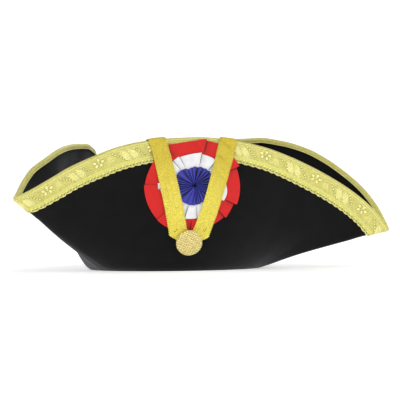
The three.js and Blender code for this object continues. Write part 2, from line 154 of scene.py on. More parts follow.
# Shapes of the brim's section, as the felt's own tables: off is the angle from the middle of a tip, out is
# a share of the run from the mean crown base to the tip, up is a share of the brim's height
COLUMNS = ("off", "edge_out", "edge_up", "toe_out", "toe_up", "wall_out", "wall_up")
FRONT_TIP_SIDE = (
    (0, 0.968, 0.545, 0.103, 0.030, 0.506, 0.243),
    (2.5, 0.892, 0.590, 0.118, 0.030, 0.587, 0.298),
    (6, 0.777, 0.672, 0.118, 0.038, 0.557, 0.363),
    (10, 0.637, 0.769, 0.106, 0.058, 0.469, 0.380),
    (15, 0.455, 0.858, 0.090, 0.078, 0.380, 0.352),
    (21, 0.319, 0.922, 0.085, 0.090, 0.321, 0.348),
    (30, 0.203, 0.964, 0.068, 0.097, 0.309, 0.356),
    (43, 0.108, 0.989, 0.063, 0.100, 0.280, 0.356),
    (60, 0.056, 0.999, 0.063, 0.079, 0.285, 0.356),
)
BACK_TIP_SIDE = (
    (0, 1.015, 0.294, 0.108, 0.037, 0.506, 0.181),
    (2.5, 0.913, 0.438, 0.122, 0.044, 0.587, 0.255),
    (6, 0.773, 0.575, 0.122, 0.063, 0.557, 0.324),
    (10, 0.629, 0.685, 0.115, 0.071, 0.469, 0.338),
    (15, 0.489, 0.778, 0.108, 0.071, 0.387, 0.338),
    (21, 0.370, 0.854, 0.090, 0.074, 0.356, 0.346),
    (30, 0.258, 0.922, 0.074, 0.079, 0.344, 0.364),
    (43, 0.121, 0.977, 0.065, 0.079, 0.307, 0.356),
    (60, 0.056, 0.999, 0.063, 0.079, 0.285, 0.356),
)
BACK_TIP_BACK = (
    (0, 1.015, 0.294, 0.108, 0.037, 0.506, 0.181),
    (2.5, 0.926, 0.461, 0.122, 0.044, 0.587, 0.255),
    (6, 0.794, 0.625, 0.122, 0.063, 0.557, 0.324),
    (10, 0.658, 0.747, 0.115, 0.071, 0.469, 0.338),
    (15, 0.518, 0.855, 0.108, 0.071, 0.387, 0.338),
    (21, 0.383, 0.940, 0.090, 0.074, 0.356, 0.346),
    (30, 0.233, 1.006, 0.074, 0.079, 0.344, 0.364),
    (43, 0.100, 1.044, 0.065, 0.079, 0.307, 0.360),
    (60, 0.031, 1.044, 0.063, 0.079, 0.295, 0.364),
)
TIPS = ((0, FRONT_TIP_SIDE, FRONT_TIP_SIDE), (120, BACK_TIP_SIDE, BACK_TIP_BACK),
        (240, BACK_TIP_BACK, BACK_TIP_SIDE))
CROWN_FULLNESS = 2.5


def smoothstep(value, low, high):
    share = np.clip((value - low) / (high - low), 0, 1)
    return share * share * (3 - 2 * share)


def unit(vectors):
    return vectors / np.maximum(np.linalg.norm(vectors, axis=-1, keepdims=True), 1e-12)


def between_cells(table, row, column):
    """A table's value between its cells: rows go on round from the last to the first, columns end."""
    r0, c0 = np.floor(row).astype(int), np.floor(column).astype(int)
    past_row, past_column = (row - r0)[..., None], (column - c0)[..., None]
    r0, r1 = r0 % len(table), (r0 + 1) % len(table)
    low = table[r0, c0] * (1 - past_column) + table[r0, c0 + 1] * past_column
    high = table[r1, c0] * (1 - past_column) + table[r1, c0 + 1] * past_column
    return low * (1 - past_row) + high * past_row


def column_at(rows, column, off):
    """Smooth curve through a table's column that never overshoots and is level at both ends."""
    table = np.array(rows, float)
    x, y = table[:, 0], table[:, COLUMNS.index(column)]
    rise = np.diff(y) / np.diff(x)
    slope = np.zeros(len(x))
    for k in range(1, len(x) - 1):
        if rise[k - 1] * rise[k] > 0:
            slope[k] = 2 / (1 / rise[k - 1] + 1 / rise[k])
    k = np.clip(np.searchsorted(x, off, side="left") - 1, 0, len(x) - 2)
    span = x[k + 1] - x[k]
    t = (off - x[k]) / span
    start = (1 + 2 * t) * (1 - t) ** 2 * y[k] + t * (1 - t) ** 2 * span * slope[k]
    end = t * t * (3 - 2 * t) * y[k + 1] - t * t * (1 - t) * span * slope[k + 1]
    return start + end


class Brim:
    """The felt's under face in a table over azimuth and distance from the edge, and what lies on it."""
    AZIMUTH_STEP = 0.25
    DEPTH_STEP = 0.0005
    SECTION_STEPS = 400
    CHART_PASSES = 12
    # How far past the braid a piece that lies on it comes down to the felt: from and to
    DOWN_OUTSIDE = (0.004, 0.017)
    DOWN_INSIDE = (0.005, 0.011)

    def __init__(self, felt, rosette):
        self.thickness = felt.thickness
        self.lip = felt.thickness + felt.fillet
        self.ring = self.lip + felt.rest_width
        self.head_length = felt.head_length
        self.head_width = felt.head_width
        self.mean_base = (felt.head_length + felt.head_width) / 4 + self.ring
        self.run = felt.tip_reach - self.mean_base
        self.height = felt.brim_height
        self.axis_y = 0.0
        self.azimuths = np.arange(0, 360, self.AZIMUTH_STEP)
        self.make_tables()
        self.axis_y = frame_axis_y(self)
        self.points[..., 1] += self.axis_y
        self.make_chart(rosette)

    def head_radius(self, azimuth):
        across = np.sin(np.radians(azimuth)) / (self.head_width / 2)
        along = np.cos(np.radians(azimuth)) / (self.head_length / 2)
        return 1 / np.hypot(across, along)

    def polar(self, azimuth, reach, height):
        turn = np.radians(azimuth)
        return np.stack([reach * np.sin(turn), self.axis_y - reach * np.cos(turn),
                         height + 0 * reach], -1)

    def share(self, azimuth, column):
        past = (np.asarray(azimuth, float)[:, None] - [tip[0] for tip in TIPS] + 180) % 360 - 180
        nearest = np.abs(past).argmin(1)
        out = np.zeros(len(past))
        for k, (_, before, after) in enumerate(TIPS):
            off = past[:, k]
            for rows, side in ((before, off < 0), (after, off >= 0)):
                here = (nearest == k) & side
                out[here] = column_at(rows, column, np.abs(off[here]))
        return out

    def section(self, azimuth, steps):
        """Points of the sections from the edge to the flat ring: reach and height at even steps."""
        base = self.head_radius(azimuth) + self.ring
        zero = 0 * base
        corners = [
            (base, zero),
            (base + self.share(azimuth, "toe_out") * self.run, self.share(azimuth, "toe_up") * self.height),
            (self.mean_base + self.share(azimuth, "wall_out") * self.run,
             self.share(azimuth, "wall_up") * self.height),
            (self.mean_base + self.share(azimuth, "edge_out") * self.run,
             self.share(azimuth, "edge_up") * self.height),
        ]
        t = np.linspace(1, 0, steps)[None, :]
        weights = ((1 - t) ** 3, 3 * t * (1 - t) ** 2, 3 * t * t * (1 - t), t ** 3)
        reach = sum(w * c[0][:, None] for w, c in zip(weights, corners))
        height = sum(w * c[1][:, None] for w, c in zip(weights, corners))
        return reach, height

    def make_tables(self):
        reach, height = self.section(self.azimuths, self.SECTION_STEPS)
        run = np.hypot(np.diff(reach), np.diff(height)).cumsum(1)
        run = np.concatenate([np.zeros((len(run), 1)), run], 1)
        self.lengths = run[:, -1]
        self.depths = np.arange(0, self.lengths.max() + self.DEPTH_STEP, self.DEPTH_STEP)
        rows = [self.polar(np.full(len(self.depths), azimuth), np.interp(self.depths, run[k], reach[k]),
                           np.interp(self.depths, run[k], height[k]))
                for k, azimuth in enumerate(self.azimuths)]
        self.points = np.array(rows)
        around = (np.roll(self.points, -1, 0) - np.roll(self.points, 1, 0)) / (2 * self.AZIMUTH_STEP)
        inward = np.gradient(self.points, self.DEPTH_STEP, axis=1)
        ends = np.minimum((self.lengths / self.DEPTH_STEP).astype(int) - 1, len(self.depths) - 2)
        for k, end in enumerate(ends):
            inward[k, end:] = inward[k, end - 1]
        self.around = around
        self.inward = unit(inward)
        self.normals = unit(np.cross(self.inward, around))

    def look_up(self, table, azimuth, depth):
        row = (np.asarray(azimuth, float) % 360) / self.AZIMUTH_STEP
        column = np.clip(np.asarray(depth, float) / self.DEPTH_STEP, 0, table.shape[1] - 1.001)
        return between_cells(table, row, column)

    def place(self, azimuth, depth):
        """Under face at a distance in from the edge, carried on straight past the edge."""
        point = self.look_up(self.points, azimuth, np.maximum(depth, 0))
        straight = self.look_up(self.inward, azimuth, np.zeros_like(depth))
        return point + straight * np.minimum(depth, 0)[..., None]

    def wrap_length(self, height):
        return math.pi * (self.thickness / 2 + height)

    def over_edge(self, azimuth, from_edge, height, turned_at):
        """A height over the felt on a path up the outer face, round the edge and down the inner face."""
        turned = -from_edge - self.wrap_length(turned_at)
        depth = np.maximum(np.maximum(from_edge, turned), 0)
        point = self.look_up(self.points, azimuth, depth)
        face = unit(self.look_up(self.normals, azimuth, depth))
        past = -self.look_up(self.inward, azimuth, np.zeros_like(depth))
        past = unit(past - (past * face).sum(-1, keepdims=True) * face)
        return self.turn(point, face, past, from_edge, height, turned_at)

    def turn(self, point, face, past, from_edge, height, turned_at):
        half = self.thickness / 2
        angle = np.pi * np.clip(-from_edge / self.wrap_length(turned_at), 0, 1)
        radius = np.asarray(half + height)
        return (point - face * half + face * (radius * np.cos(angle))[..., None]
                + past * (radius * np.sin(angle))[..., None])

    def make_chart(self, rosette):
        """The rosette's panel laid out flat from the rosette's middle, right and up over the wall."""
        self.middle_azimuth = rosette.azimuth
        self.middle_depth = rosette.red_radius + rosette.below_edge
        at = (np.array([rosette.azimuth]), np.array([self.middle_depth]))
        self.middle = self.look_up(self.points, *at)[0]
        out = unit(self.look_up(self.normals, *at))[0]
        self.right = unit(np.cross((0, 0, 1), out))
        self.up = np.cross(out, self.right)

    def on_chart(self, right, up):
        """Azimuth and distance from the edge of places right and up of the rosette's middle."""
        azimuth = np.full(np.shape(right), float(self.middle_azimuth))
        depth = self.middle_depth - np.asarray(up, float)
        axis = np.array([0, self.axis_y, 0])
        for _ in range(self.CHART_PASSES):
            point = self.place(azimuth, depth)
            offset = point - self.middle
            reach = np.linalg.norm((point - axis)[..., :2], axis=-1)
            azimuth = azimuth + np.degrees((right - offset @ self.right) / reach)
            depth = depth - (up - offset @ self.up)
        return azimuth, depth

    def along_section(self, azimuth, width):
        edge = unit(self.look_up(self.around, azimuth, np.zeros_like(azimuth)))
        section = self.look_up(self.inward, azimuth, np.zeros_like(azimuth))
        return width / np.linalg.norm(np.cross(edge, section), axis=-1)

    def on_panel(self, right, up, height, braid, turned_at):
        """On the rosette's panel, with the extra height where the braid lies under the piece."""
        azimuth, depth = self.on_chart(right, up)
        outer = 1 - smoothstep(depth - self.along_section(azimuth, braid_width(braid)), *self.DOWN_OUTSIDE)
        inner = 1 - smoothstep(-depth - self.wrap_length(turned_at), *self.DOWN_INSIDE)
        lifted = height + braid_top(braid) * np.minimum(outer, inner)
        return self.over_edge(azimuth, depth, lifted, turned_at)


def frame_axis_y(brim):
    """The crown axis's place in the frame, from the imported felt's own box."""
    low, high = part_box("felt_body")
    return (low.y + high.y) / 2 - (brim.points[..., 1].min() + brim.points[..., 1].max()) / 2


@functools.lru_cache(maxsize=1)
def brim_for(*sizes):
    scene = bpy.context.scene
    return Brim(scene.hat_felt, scene.hat_rosette)


def the_brim(scene):
    felt, rosette = scene.hat_felt, scene.hat_rosette
    return brim_for(felt.tip_reach, felt.brim_height, felt.thickness, felt.head_length, felt.head_width,
                    felt.fillet, felt.rest_width, rosette.azimuth, rosette.red_radius, rosette.below_edge)


class Edge:
    """The brim's edge as a length, and the lines that run square to it down the felt."""
    COUNT = 1600
    STEP = 0.001
    EASE = 0.003

    def __init__(self, brim, reach):
        self.brim = brim
        edge = np.concatenate([brim.points[:, 0], brim.points[:1, 0]])
        along = np.concatenate([[0], np.linalg.norm(np.diff(edge, axis=0), axis=1).cumsum()])
        self.total = along[-1]
        azimuths = np.append(brim.azimuths, 360.0)
        self.start = np.interp(np.arange(self.COUNT) / self.COUNT * self.total, along, azimuths)
        self.march(int(reach / self.STEP) + 2)

    def march(self, steps):
        brim = self.brim
        azimuth, depth = self.start.copy(), np.zeros(self.COUNT)
        tangent = unit(brim.look_up(brim.around, azimuth, depth))
        heading = brim.look_up(brim.inward, azimuth, depth)
        heading = unit(heading - (heading * tangent).sum(-1, keepdims=True) * tangent)
        self.past = -heading
        shifts, depths = [np.zeros(self.COUNT)], [depth]
        for _ in range(steps):
            around = brim.look_up(brim.around, azimuth, depth)
            inward = brim.look_up(brim.inward, azimuth, depth)
            normal = unit(np.cross(inward, around))
            heading = unit(heading - (heading * normal).sum(-1, keepdims=True) * normal)
            aa, ii = (around * around).sum(-1), (inward * inward).sum(-1)
            ai = (around * inward).sum(-1)
            ha, hi = (heading * around).sum(-1), (heading * inward).sum(-1)
            det = aa * ii - ai * ai
            azimuth = azimuth + self.STEP * (ha * ii - hi * ai) / det
            depth = depth + self.STEP * (hi * aa - ha * ai) / det
            shifts.append(azimuth - self.start)
            depths.append(depth)
        shifts, depths = self.eased(np.array(shifts).T), self.eased(np.array(depths).T)
        azimuths = self.start[:, None] + shifts
        self.points = brim.look_up(brim.points, azimuths, depths)
        self.normals = unit(brim.look_up(brim.normals, azimuths, depths))
        self.past = unit(self.eased(self.past))

    def eased(self, rows):
        """Rows smoothed along the edge, so that lines square to it don't cross where it turns."""
        spread = np.fft.rfftfreq(self.COUNT, self.total / self.COUNT) * self.EASE * 2 * np.pi
        damping = np.exp(-spread ** 2 / 2)[:, None]
        return np.fft.irfft(np.fft.rfft(rows, axis=0) * damping, self.COUNT, axis=0)

    def look_up(self, table, along, depth):
        row = np.asarray(along) / self.total * self.COUNT
        column = np.clip(np.asarray(depth) / self.STEP, 0, table.shape[1] - 1.001)
        return between_cells(table, row, column)

    def bend(self, along, width, height, turned_at):
        """From the braid laid out flat to its place: width is 0 at the edge, positive outside."""
        wrap = self.brim.wrap_length(turned_at)
        depth = np.maximum(np.maximum(width, -width - wrap), 0)
        point = self.look_up(self.points, along, depth)
        face = unit(self.look_up(self.normals, along, depth))
        past = self.look_up(self.past[:, None, :].repeat(2, 1), along, np.zeros_like(depth))
        past = unit(past - (past * face).sum(-1, keepdims=True) * face)
        return self.brim.turn(point, face, past, width, height, turned_at)


# Meshes

def mesh_from(name, points, faces, tones=None, uvs=None):
    mesh = bpy.data.meshes.new(name)
    mesh.from_pydata(np.asarray(points, float).reshape(-1, 3).tolist(), [], [list(face) for face in faces])
    if tones is not None:
        mesh.attributes.new("tone", "FLOAT", "POINT").data.foreach_set("value", np.asarray(tones, np.float32))
    if uvs is not None:
        corners = np.zeros(len(mesh.loops), np.int32)
        mesh.loops.foreach_get("vertex_index", corners)
        layer = mesh.uv_layers.new(name="UVMap")
        layer.data.foreach_set("uv", np.asarray(uvs, np.float32)[corners].ravel())
    mesh.polygons.foreach_set("use_smooth", [True] * len(mesh.polygons))
    mesh.update()
    return mesh


def piece_from(mesh, material, slot, *nodes):
    """A finished piece at the origin, riding on the hat's one body."""
    piece = bpy.data.objects.new(mesh.name, mesh)
    bpy.context.scene.collection.objects.link(piece)
    mesh.materials.clear()
    mesh.materials.append(material)
    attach(piece, "root")
    if nodes:
        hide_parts(*nodes)
    return piece


def grid_faces(rows, columns, close_rows=False, close_columns=False):
    """Quads of a grid of rows by columns, with the last row or column joined back to the first."""
    r, c = np.meshgrid(np.arange(rows if close_rows else rows - 1),
                       np.arange(columns if close_columns else columns - 1), indexing="ij")
    r1, c1 = (r + 1) % rows, (c + 1) % columns
    quads = np.stack([r * columns + c, r * columns + c1, r1 * columns + c1, r1 * columns + c], -1)
    return quads.reshape(-1, 4)


def flipped(faces):
    return [tuple(reversed(face)) for face in faces]


class Flat:
    """Small closed shapes laid out flat: along, width and height, joined in one mesh."""

    def __init__(self):
        self.points, self.faces, self.tones = [], [], []

    def add(self, points, faces, tone):
        first = len(self.points)
        self.points.extend(points)
        self.faces.extend([tuple(first + i for i in face) for face in faces])
        self.tones.extend([tone] * len(points))

    def dome(self, centre, half_length, half_width, height, turn, tone, foot, sides=8):
        """A low dome: an ellipse turned by an angle in degrees."""
        cos, sin = math.cos(math.radians(turn)), math.sin(math.radians(turn))
        points = []
        for share, rise in ((1.0, -0.15), (0.94, 0.45), (0.62, 0.86)):
            for k in range(sides):
                angle = 2 * math.pi * k / sides
                x, y = half_length * share * math.cos(angle), half_width * share * math.sin(angle)
                points.append((centre[0] + x * cos - y * sin, centre[1] + x * sin + y * cos,
                               foot + height * rise))
        points.append((centre[0], centre[1], foot + height))
        faces = [tuple(reversed(range(sides)))]
        for ring in range(2):
            for k in range(sides):
                j = (k + 1) % sides
                faces.append((ring * sides + k, ring * sides + j, (ring + 1) * sides + j,
                              (ring + 1) * sides + k))
        faces.extend((2 * sides + k, 2 * sides + (k + 1) % sides, 3 * sides) for k in range(sides))
        self.add(points, faces, tone)

    def thread(self, path, width, height, tone, foot, taper=0.35):
        """A half-round thread along points (along, width), closed and a little thinner at its ends."""
        path = np.asarray(path, float)
        heading = unit(np.gradient(path, axis=0))
        side = np.stack([-heading[:, 1], heading[:, 0]], -1)
        section = ((-0.5, -0.15), (0.5, -0.15), (0.46, 0.4), (0.25, 0.85), (-0.25, 0.85), (-0.46, 0.4))
        points = []
        for k, point in enumerate(path):
            size = taper if k in (0, len(path) - 1) else 1.0
            for across, rise in section:
                spot = point + side[k] * across * width * size
                points.append((spot[0], spot[1], foot + height * rise * size))
        count = len(section)
        faces = [tuple(f) for f in grid_faces(len(path), count, close_columns=True)]
        last = (len(path) - 1) * count
        faces = flipped(faces)
        faces.append(tuple(range(count)))
        faces.append(tuple(last + k for k in reversed(range(count))))
        self.add(points, faces, tone)

    def mesh(self, name):
        return mesh_from(name, self.points, self.faces, self.tones)


def socket(tree, name):
    """The identifier of a group's input, by the name on its label."""
    return next(item.identifier for item in tree.interface.items_tree if item.name == name)


def repeat_tree():
    """Geometry nodes that set a shape again and again along a straight line."""
    tree = bpy.data.node_groups.new("Repeat along a line", "GeometryNodeTree")
    face = tree.interface
    face.new_socket("Geometry", in_out="INPUT", socket_type="NodeSocketGeometry")
    face.new_socket("Repeats", in_out="INPUT", socket_type="NodeSocketInt")
    face.new_socket("Pitch", in_out="INPUT", socket_type="NodeSocketFloat")
    face.new_socket("Material", in_out="INPUT", socket_type="NodeSocketMaterial")
    face.new_socket("Geometry", in_out="OUTPUT", socket_type="NodeSocketGeometry")
    nodes, links = tree.nodes, tree.links
    start, end = nodes.new("NodeGroupInput"), nodes.new("NodeGroupOutput")
    line = nodes.new("GeometryNodeMeshLine")
    line.mode = "OFFSET"
    offset = nodes.new("ShaderNodeCombineXYZ")
    copies = nodes.new("GeometryNodeInstanceOnPoints")
    real = nodes.new("GeometryNodeRealizeInstances")
    dressed = nodes.new("GeometryNodeSetMaterial")
    links.new(start.outputs["Repeats"], line.inputs["Count"])
    links.new(start.outputs["Pitch"], offset.inputs["X"])
    links.new(offset.outputs["Vector"], line.inputs["Offset"])
    links.new(line.outputs["Mesh"], copies.inputs["Points"])
    links.new(start.outputs["Geometry"], copies.inputs["Instance"])
    links.new(copies.outputs["Instances"], real.inputs["Geometry"])
    links.new(real.outputs["Geometry"], dressed.inputs["Geometry"])
    links.new(start.outputs["Material"], dressed.inputs["Material"])
    links.new(dressed.outputs["Geometry"], end.inputs["Geometry"])
    return tree


def repeated(shape, repeats, pitch, material):
    """The mesh of a flat shape repeated along its length, as plain points and faces."""
    tree = bpy.data.node_groups.get("Repeat along a line") or repeat_tree()
    holder = bpy.data.objects.new("repeat", shape)
    bpy.context.scene.collection.objects.link(holder)
    modifier = holder.modifiers.new("Repeat", "NODES")
    modifier.node_group = tree
    modifier[socket(tree, "Repeats")] = repeats
    modifier[socket(tree, "Pitch")] = pitch
    modifier[socket(tree, "Material")] = material
    shown = holder.evaluated_get(bpy.context.evaluated_depsgraph_get())
    mesh = bpy.data.meshes.new_from_object(shown)
    bpy.data.objects.remove(holder)
    return mesh


def moved(mesh, place):
    """Sends every point of a flat mesh to its place: place takes along, width and height."""
    flat = np.zeros(len(mesh.vertices) * 3, np.float32)
    mesh.vertices.foreach_get("co", flat)
    flat = flat.reshape(-1, 3).astype(float)
    mesh.vertices.foreach_set("co", place(flat[:, 0], flat[:, 1], flat[:, 2]).astype(np.float32).ravel())
    mesh.polygons.foreach_set("use_smooth", [True] * len(mesh.polygons))
    mesh.update()
    return mesh


# Materials

class Finish:
    """A material of nodes, with short names for what its patterns need."""

    def __init__(self, name, roughness=0.6, metallic=0.0, sheen=0.0, sheen_roughness=0.5, specular=0.5):
        self.material = bpy.data.materials.new(name)
        self.material.use_nodes = True
        self.tree = self.material.node_tree
        self.shader = self.tree.nodes["Principled BSDF"]
        self.shader.inputs["Roughness"].default_value = roughness
        self.shader.inputs["Metallic"].default_value = metallic
        self.shader.inputs["Sheen Weight"].default_value = sheen
        self.shader.inputs["Sheen Roughness"].default_value = sheen_roughness
        self.shader.inputs["Specular IOR Level"].default_value = specular

    def node(self, kind):
        return self.tree.nodes.new(kind)

    def link(self, output, target):
        self.tree.links.new(output, target)

    def where(self):
        return self.node("ShaderNodeTexCoord").outputs["Object"]

    def flat(self):
        node = self.node("ShaderNodeUVMap")
        node.uv_map = "UVMap"
        return node.outputs["UV"]

    def tone(self):
        node = self.node("ShaderNodeAttribute")
        node.attribute_name = "tone"
        return node.outputs["Fac"]

    def noise(self, vector, scale, detail=3.0, roughness=0.55):
        node = self.node("ShaderNodeTexNoise")
        node.inputs["Scale"].default_value = scale
        node.inputs["Detail"].default_value = detail
        node.inputs["Roughness"].default_value = roughness
        self.link(vector, node.inputs["Vector"])
        return node.outputs["Fac"]

    def cells(self, vector, scale):
        """One random shade for each small cell, for painted glints on metal thread."""
        node = self.node("ShaderNodeTexVoronoi")
        node.inputs["Scale"].default_value = scale
        self.link(vector, node.inputs["Vector"])
        split = self.node("ShaderNodeSeparateColor")
        self.link(node.outputs["Color"], split.inputs["Color"])
        return split.outputs["Red"]

    def wave(self, vector, across, pitch):
        """Lines of a pitch along a direction (along, width) of the flat layout."""
        turned = self.node("ShaderNodeVectorMath")
        turned.operation = "DOT_PRODUCT"
        turned.inputs[1].default_value = (*across, 0.0)
        self.link(vector, turned.inputs[0])
        sine = self.maths("SINE", self.maths("MULTIPLY", turned.outputs["Value"], 2 * math.pi / pitch))
        return self.maths("ADD", self.maths("MULTIPLY", sine, 0.5), 0.5)

    def between(self, flat, low, high):
        """1 where the flat layout's width lies between two places."""
        split = self.node("ShaderNodeSeparateXYZ")
        self.link(flat, split.inputs["Vector"])
        over = self.maths("GREATER_THAN", split.outputs["Y"], low)
        return self.maths("MULTIPLY", over, self.maths("LESS_THAN", split.outputs["Y"], high))

    def maths(self, operation, first, second=0.0):
        node = self.node("ShaderNodeMath")
        node.operation = operation
        for socket_in, value in zip(node.inputs, (first, second)):
            if isinstance(value, (int, float)):
                socket_in.default_value = value
            else:
                self.link(value, socket_in)
        return node.outputs["Value"]

    def ramp(self, value, *stops):
        node = self.node("ShaderNodeValToRGB")
        ramp = node.color_ramp
        while len(ramp.elements) < len(stops):
            ramp.elements.new(0.5)
        for element, (place, tint) in zip(ramp.elements, stops):
            element.position = place
            element.color = (*tint, 1.0)
        self.link(value, node.inputs["Fac"])
        return node.outputs["Color"]

    def blend(self, share, first, second):
        node = self.node("ShaderNodeMix")
        node.data_type = "RGBA"
        for name, value in (("Factor", share), ("A", first), ("B", second)):
            target = [s for s in node.inputs if s.name == name and s.enabled][0]
            if isinstance(value, (int, float)):
                target.default_value = value
            elif isinstance(value, tuple):
                target.default_value = (*value, 1.0)
            else:
                self.link(value, target)
        return [s for s in node.outputs if s.enabled][0]

    def paint(self, output):
        self.link(output, self.shader.inputs["Base Color"])

    def rough(self, output, low, high):
        node = self.node("ShaderNodeMapRange")
        node.inputs["To Min"].default_value = low
        node.inputs["To Max"].default_value = high
        self.link(output, node.inputs["Value"])
        self.link(node.outputs["Result"], self.shader.inputs["Roughness"])

    def bump(self, output, distance, strength=1.0):
        node = self.node("ShaderNodeBump")
        node.inputs["Distance"].default_value = distance
        node.inputs["Strength"].default_value = strength
        self.link(output, node.inputs["Height"])
        self.link(node.outputs["Normal"], self.shader.inputs["Normal"])


def shade(rgb, factor):
    return tuple(min(1.0, channel * factor) for channel in rgb)


def felt_finish(felt):
    """Matte wool felt: short tangled fibres, a grey bloom on them and faint paler fluff."""
    black = tuple(felt.black)
    finish = Finish("black_felt", roughness=0.92, sheen=0.27, sheen_roughness=0.4, specular=0.12)
    where = finish.where()
    fibres = finish.noise(where, 1400, 4, 0.7)
    mottle = finish.noise(where, 70, 3)
    dark = finish.ramp(fibres, (0.32, shade(black, 0.65)), (0.55, black), (0.78, shade(black, 2.2)))
    pale = finish.ramp(mottle, (0.35, shade(black, 0.85)), (0.7, shade(black, 1.5)))
    finish.paint(finish.blend(0.4, dark, pale))
    finish.bump(finish.maths("ADD", fibres, finish.maths("MULTIPLY", mottle, 0.5)), 0.0003, 0.7)
    finish.shader.inputs["Sheen Tint"].default_value = (0.75, 0.76, 0.8, 1.0)
    return finish.material


def gold_finish(name, gold, low, glint, metallic=0.3, roughness=0.36, dark=0.62):
    """Metal-wrapped thread with painted glints: its colour scaled by a random shade in each small cell."""
    finish = Finish(name, roughness=roughness, metallic=metallic, specular=0.6)
    where = finish.where()
    glints = finish.cells(where, glint)
    base = finish.blend(finish.tone(), low, gold)
    # Painted glints: each cell's colour scaled from darker to brighter than the thread's own
    lit = finish.ramp(glints, (0.0, (dark, dark, dark)), (0.55, (0.95, 0.95, 0.95)), (1.0, (1.35, 1.35, 1.3)))
    mixed = finish.node("ShaderNodeMix")
    mixed.data_type = "RGBA"
    mixed.blend_type = "MULTIPLY"
    inputs = [s for s in mixed.inputs if s.enabled]
    inputs[0].default_value = 1.0
    finish.link(base, inputs[1])
    finish.link(lit, inputs[2])
    finish.paint([s for s in mixed.outputs if s.enabled][0])
    finish.rough(glints, roughness - 0.1, roughness + 0.18)
    finish.bump(finish.noise(where, 2600, 2), 0.00012, 0.8)
    return finish.material


def ground_finish(braid):
    """The braid's woven ground: a fine mesh of gold over darker gaps, partly the olive ground and partly
    painted shade, with painted glints, a random shade to each stitch.
    """
    gold, olive = tuple(braid.gold), tuple(braid.olive)
    finish = Finish("braid_ground", roughness=0.45, metallic=0.45, specular=0.5)
    flat = finish.flat()
    one = finish.wave(flat, (0.7071, 0.7071), 0.0011)
    two = finish.wave(flat, (0.7071, -0.7071), 0.0011)
    weave = finish.maths("MAXIMUM", one, two)
    # Painted glints: a random shade to each stitch
    glints = finish.cells(finish.where(), 1300)
    level = finish.maths("MULTIPLY", weave, finish.maths("ADD", finish.maths("MULTIPLY", glints, 0.5), 0.6))
    # The gaps show the olive ground, darkened further at their deepest with painted shade
    lattice = finish.ramp(level, (0.25, shade(olive, 0.5)), (0.6, olive), (0.95, shade(gold, 0.9)))
    fresh = (0.84 * gold[0], 0.88 * gold[1], 0.6 * gold[2])
    satin = finish.ramp(finish.wave(flat, (0.94, 0.34), 0.0007), (0.1, shade(fresh, 0.75)), (0.6, fresh))
    lower = finish.between(flat, 0.0145, 0.0175)
    finish.paint(finish.blend(lower, lattice, satin))
    finish.bump(weave, 0.00025, 0.9)
    return finish.material


def ribbon_cloth(name, base, ribs, gloss, painted_fold_shade):
    """Ribbed taffeta ribbon: fine ribs that run out from the rosette's middle, a little darker between the
    ribs with painted shade, and darker down in its folds with painted shade.
    """
    finish = Finish(name, roughness=gloss, sheen=0.06, sheen_roughness=0.4, specular=0.3)
    flat = finish.flat()
    rib = finish.wave(flat, (1.0, 0.0), ribs)
    slubs = finish.noise(finish.where(), 160, 3)
    tint = finish.ramp(slubs, (0.3, shade(base, 0.85)), (0.55, base), (0.8, shade(base, 1.1)))
    # Painted shade: a little darker in the valleys between the ribs
    lines = finish.ramp(rib, (0.0, shade(base, 0.9)), (0.6, base))
    cloth = finish.blend(0.5, tint, lines)
    # Painted shade: where the tone attribute is low the cloth turns to a dark copy of its colour
    finish.paint(finish.blend(finish.tone(), shade(base, painted_fold_shade), cloth))
    finish.bump(finish.maths("ADD", rib, finish.noise(finish.where(), 2200, 2)), 0.00008, 0.6)
    return finish.material


def stitch_finish(black):
    """Black sewing thread."""
    finish = Finish("stitch_thread", roughness=0.8, specular=0.3)
    finish.paint(finish.ramp(finish.noise(finish.where(), 900, 3), (0.3, shade(black, 0.8)), (0.7, black)))
    return finish.material


# Pieces

WALL_RINGS = 73
RING_STEPS = 3
FILLET_STEPS = 5
DOME_STEPS = 24
# The rings whose corner at the foot of the wall is rounded, and how many times
TOE_FIRST, TOE_LAST, TOE_PASSES = 60, 75, 14
TIP_STEPS = 30


def tip_azimuths(steps):
    """Azimuths all the way round, close together at the tips where the brim folds."""
    half = 60 * np.linspace(0, 1, steps, endpoint=False) ** 1.5
    third = np.concatenate([half, 120 - half[1:][::-1], [60.0]])
    third = np.sort(third)
    return np.concatenate([tip + third for tip in (0, 120, 240)])


def felt_rings(brim, felt, azimuths):
    """The felt's under and inner face, as rings from the brim's edge over the flat ring to the dome's top."""
    lengths = np.interp(azimuths, brim.azimuths, brim.lengths, period=360)
    rings = []
    for share in np.arange(WALL_RINGS) / WALL_RINGS:
        rings.append(brim.place(azimuths, share * lengths))
    head = brim.head_radius(azimuths)
    for inward in np.linspace(0, felt.rest_width, RING_STEPS):
        rings.append(brim.polar(azimuths, head + brim.ring - inward, 0 * head))
    for angle in np.linspace(0, np.pi / 2, FILLET_STEPS + 1)[1:]:
        rings.append(brim.polar(azimuths, head + brim.lip * (1 - math.sin(angle)),
                                np.full_like(head, brim.lip * (1 - math.cos(angle)))))
    rise = felt.crown_height - felt.thickness - brim.lip
    for angle in np.linspace(0, np.pi / 2, DOME_STEPS + 2)[1:-1]:
        up = brim.lip + rise * math.sin(angle) ** (2 / CROWN_FULLNESS)
        rings.append(brim.polar(azimuths, head * math.cos(angle) ** (2 / CROWN_FULLNESS),
                                np.full_like(head, up)))
    return np.array(rings)


def eased_toe(rings, first, last, times):
    """Rounds the corner where the wall meets the flat ring."""
    for _ in range(times):
        middle = (rings[first - 1:last - 1] + rings[first + 1:last + 1]) / 2
        rings[first:last] += 0.5 * (middle - rings[first:last])
    return rings


def grid_normals(rings):
    around = np.roll(rings, -1, 1) - np.roll(rings, 1, 1)
    along = np.gradient(rings, axis=0)
    return unit(np.cross(along, around))


# The felt's slow waves: how many, their lengths, and where they come in from the edge, go out toward the
# base and come in round the rosette's middle
WAVES = {"seed": 3, "count": 9, "lengths": (0.045, 0.110), "edge": (0.030, 0.045), "base": (-0.020, -0.004),
         "rosette": (0.062, 0.085)}


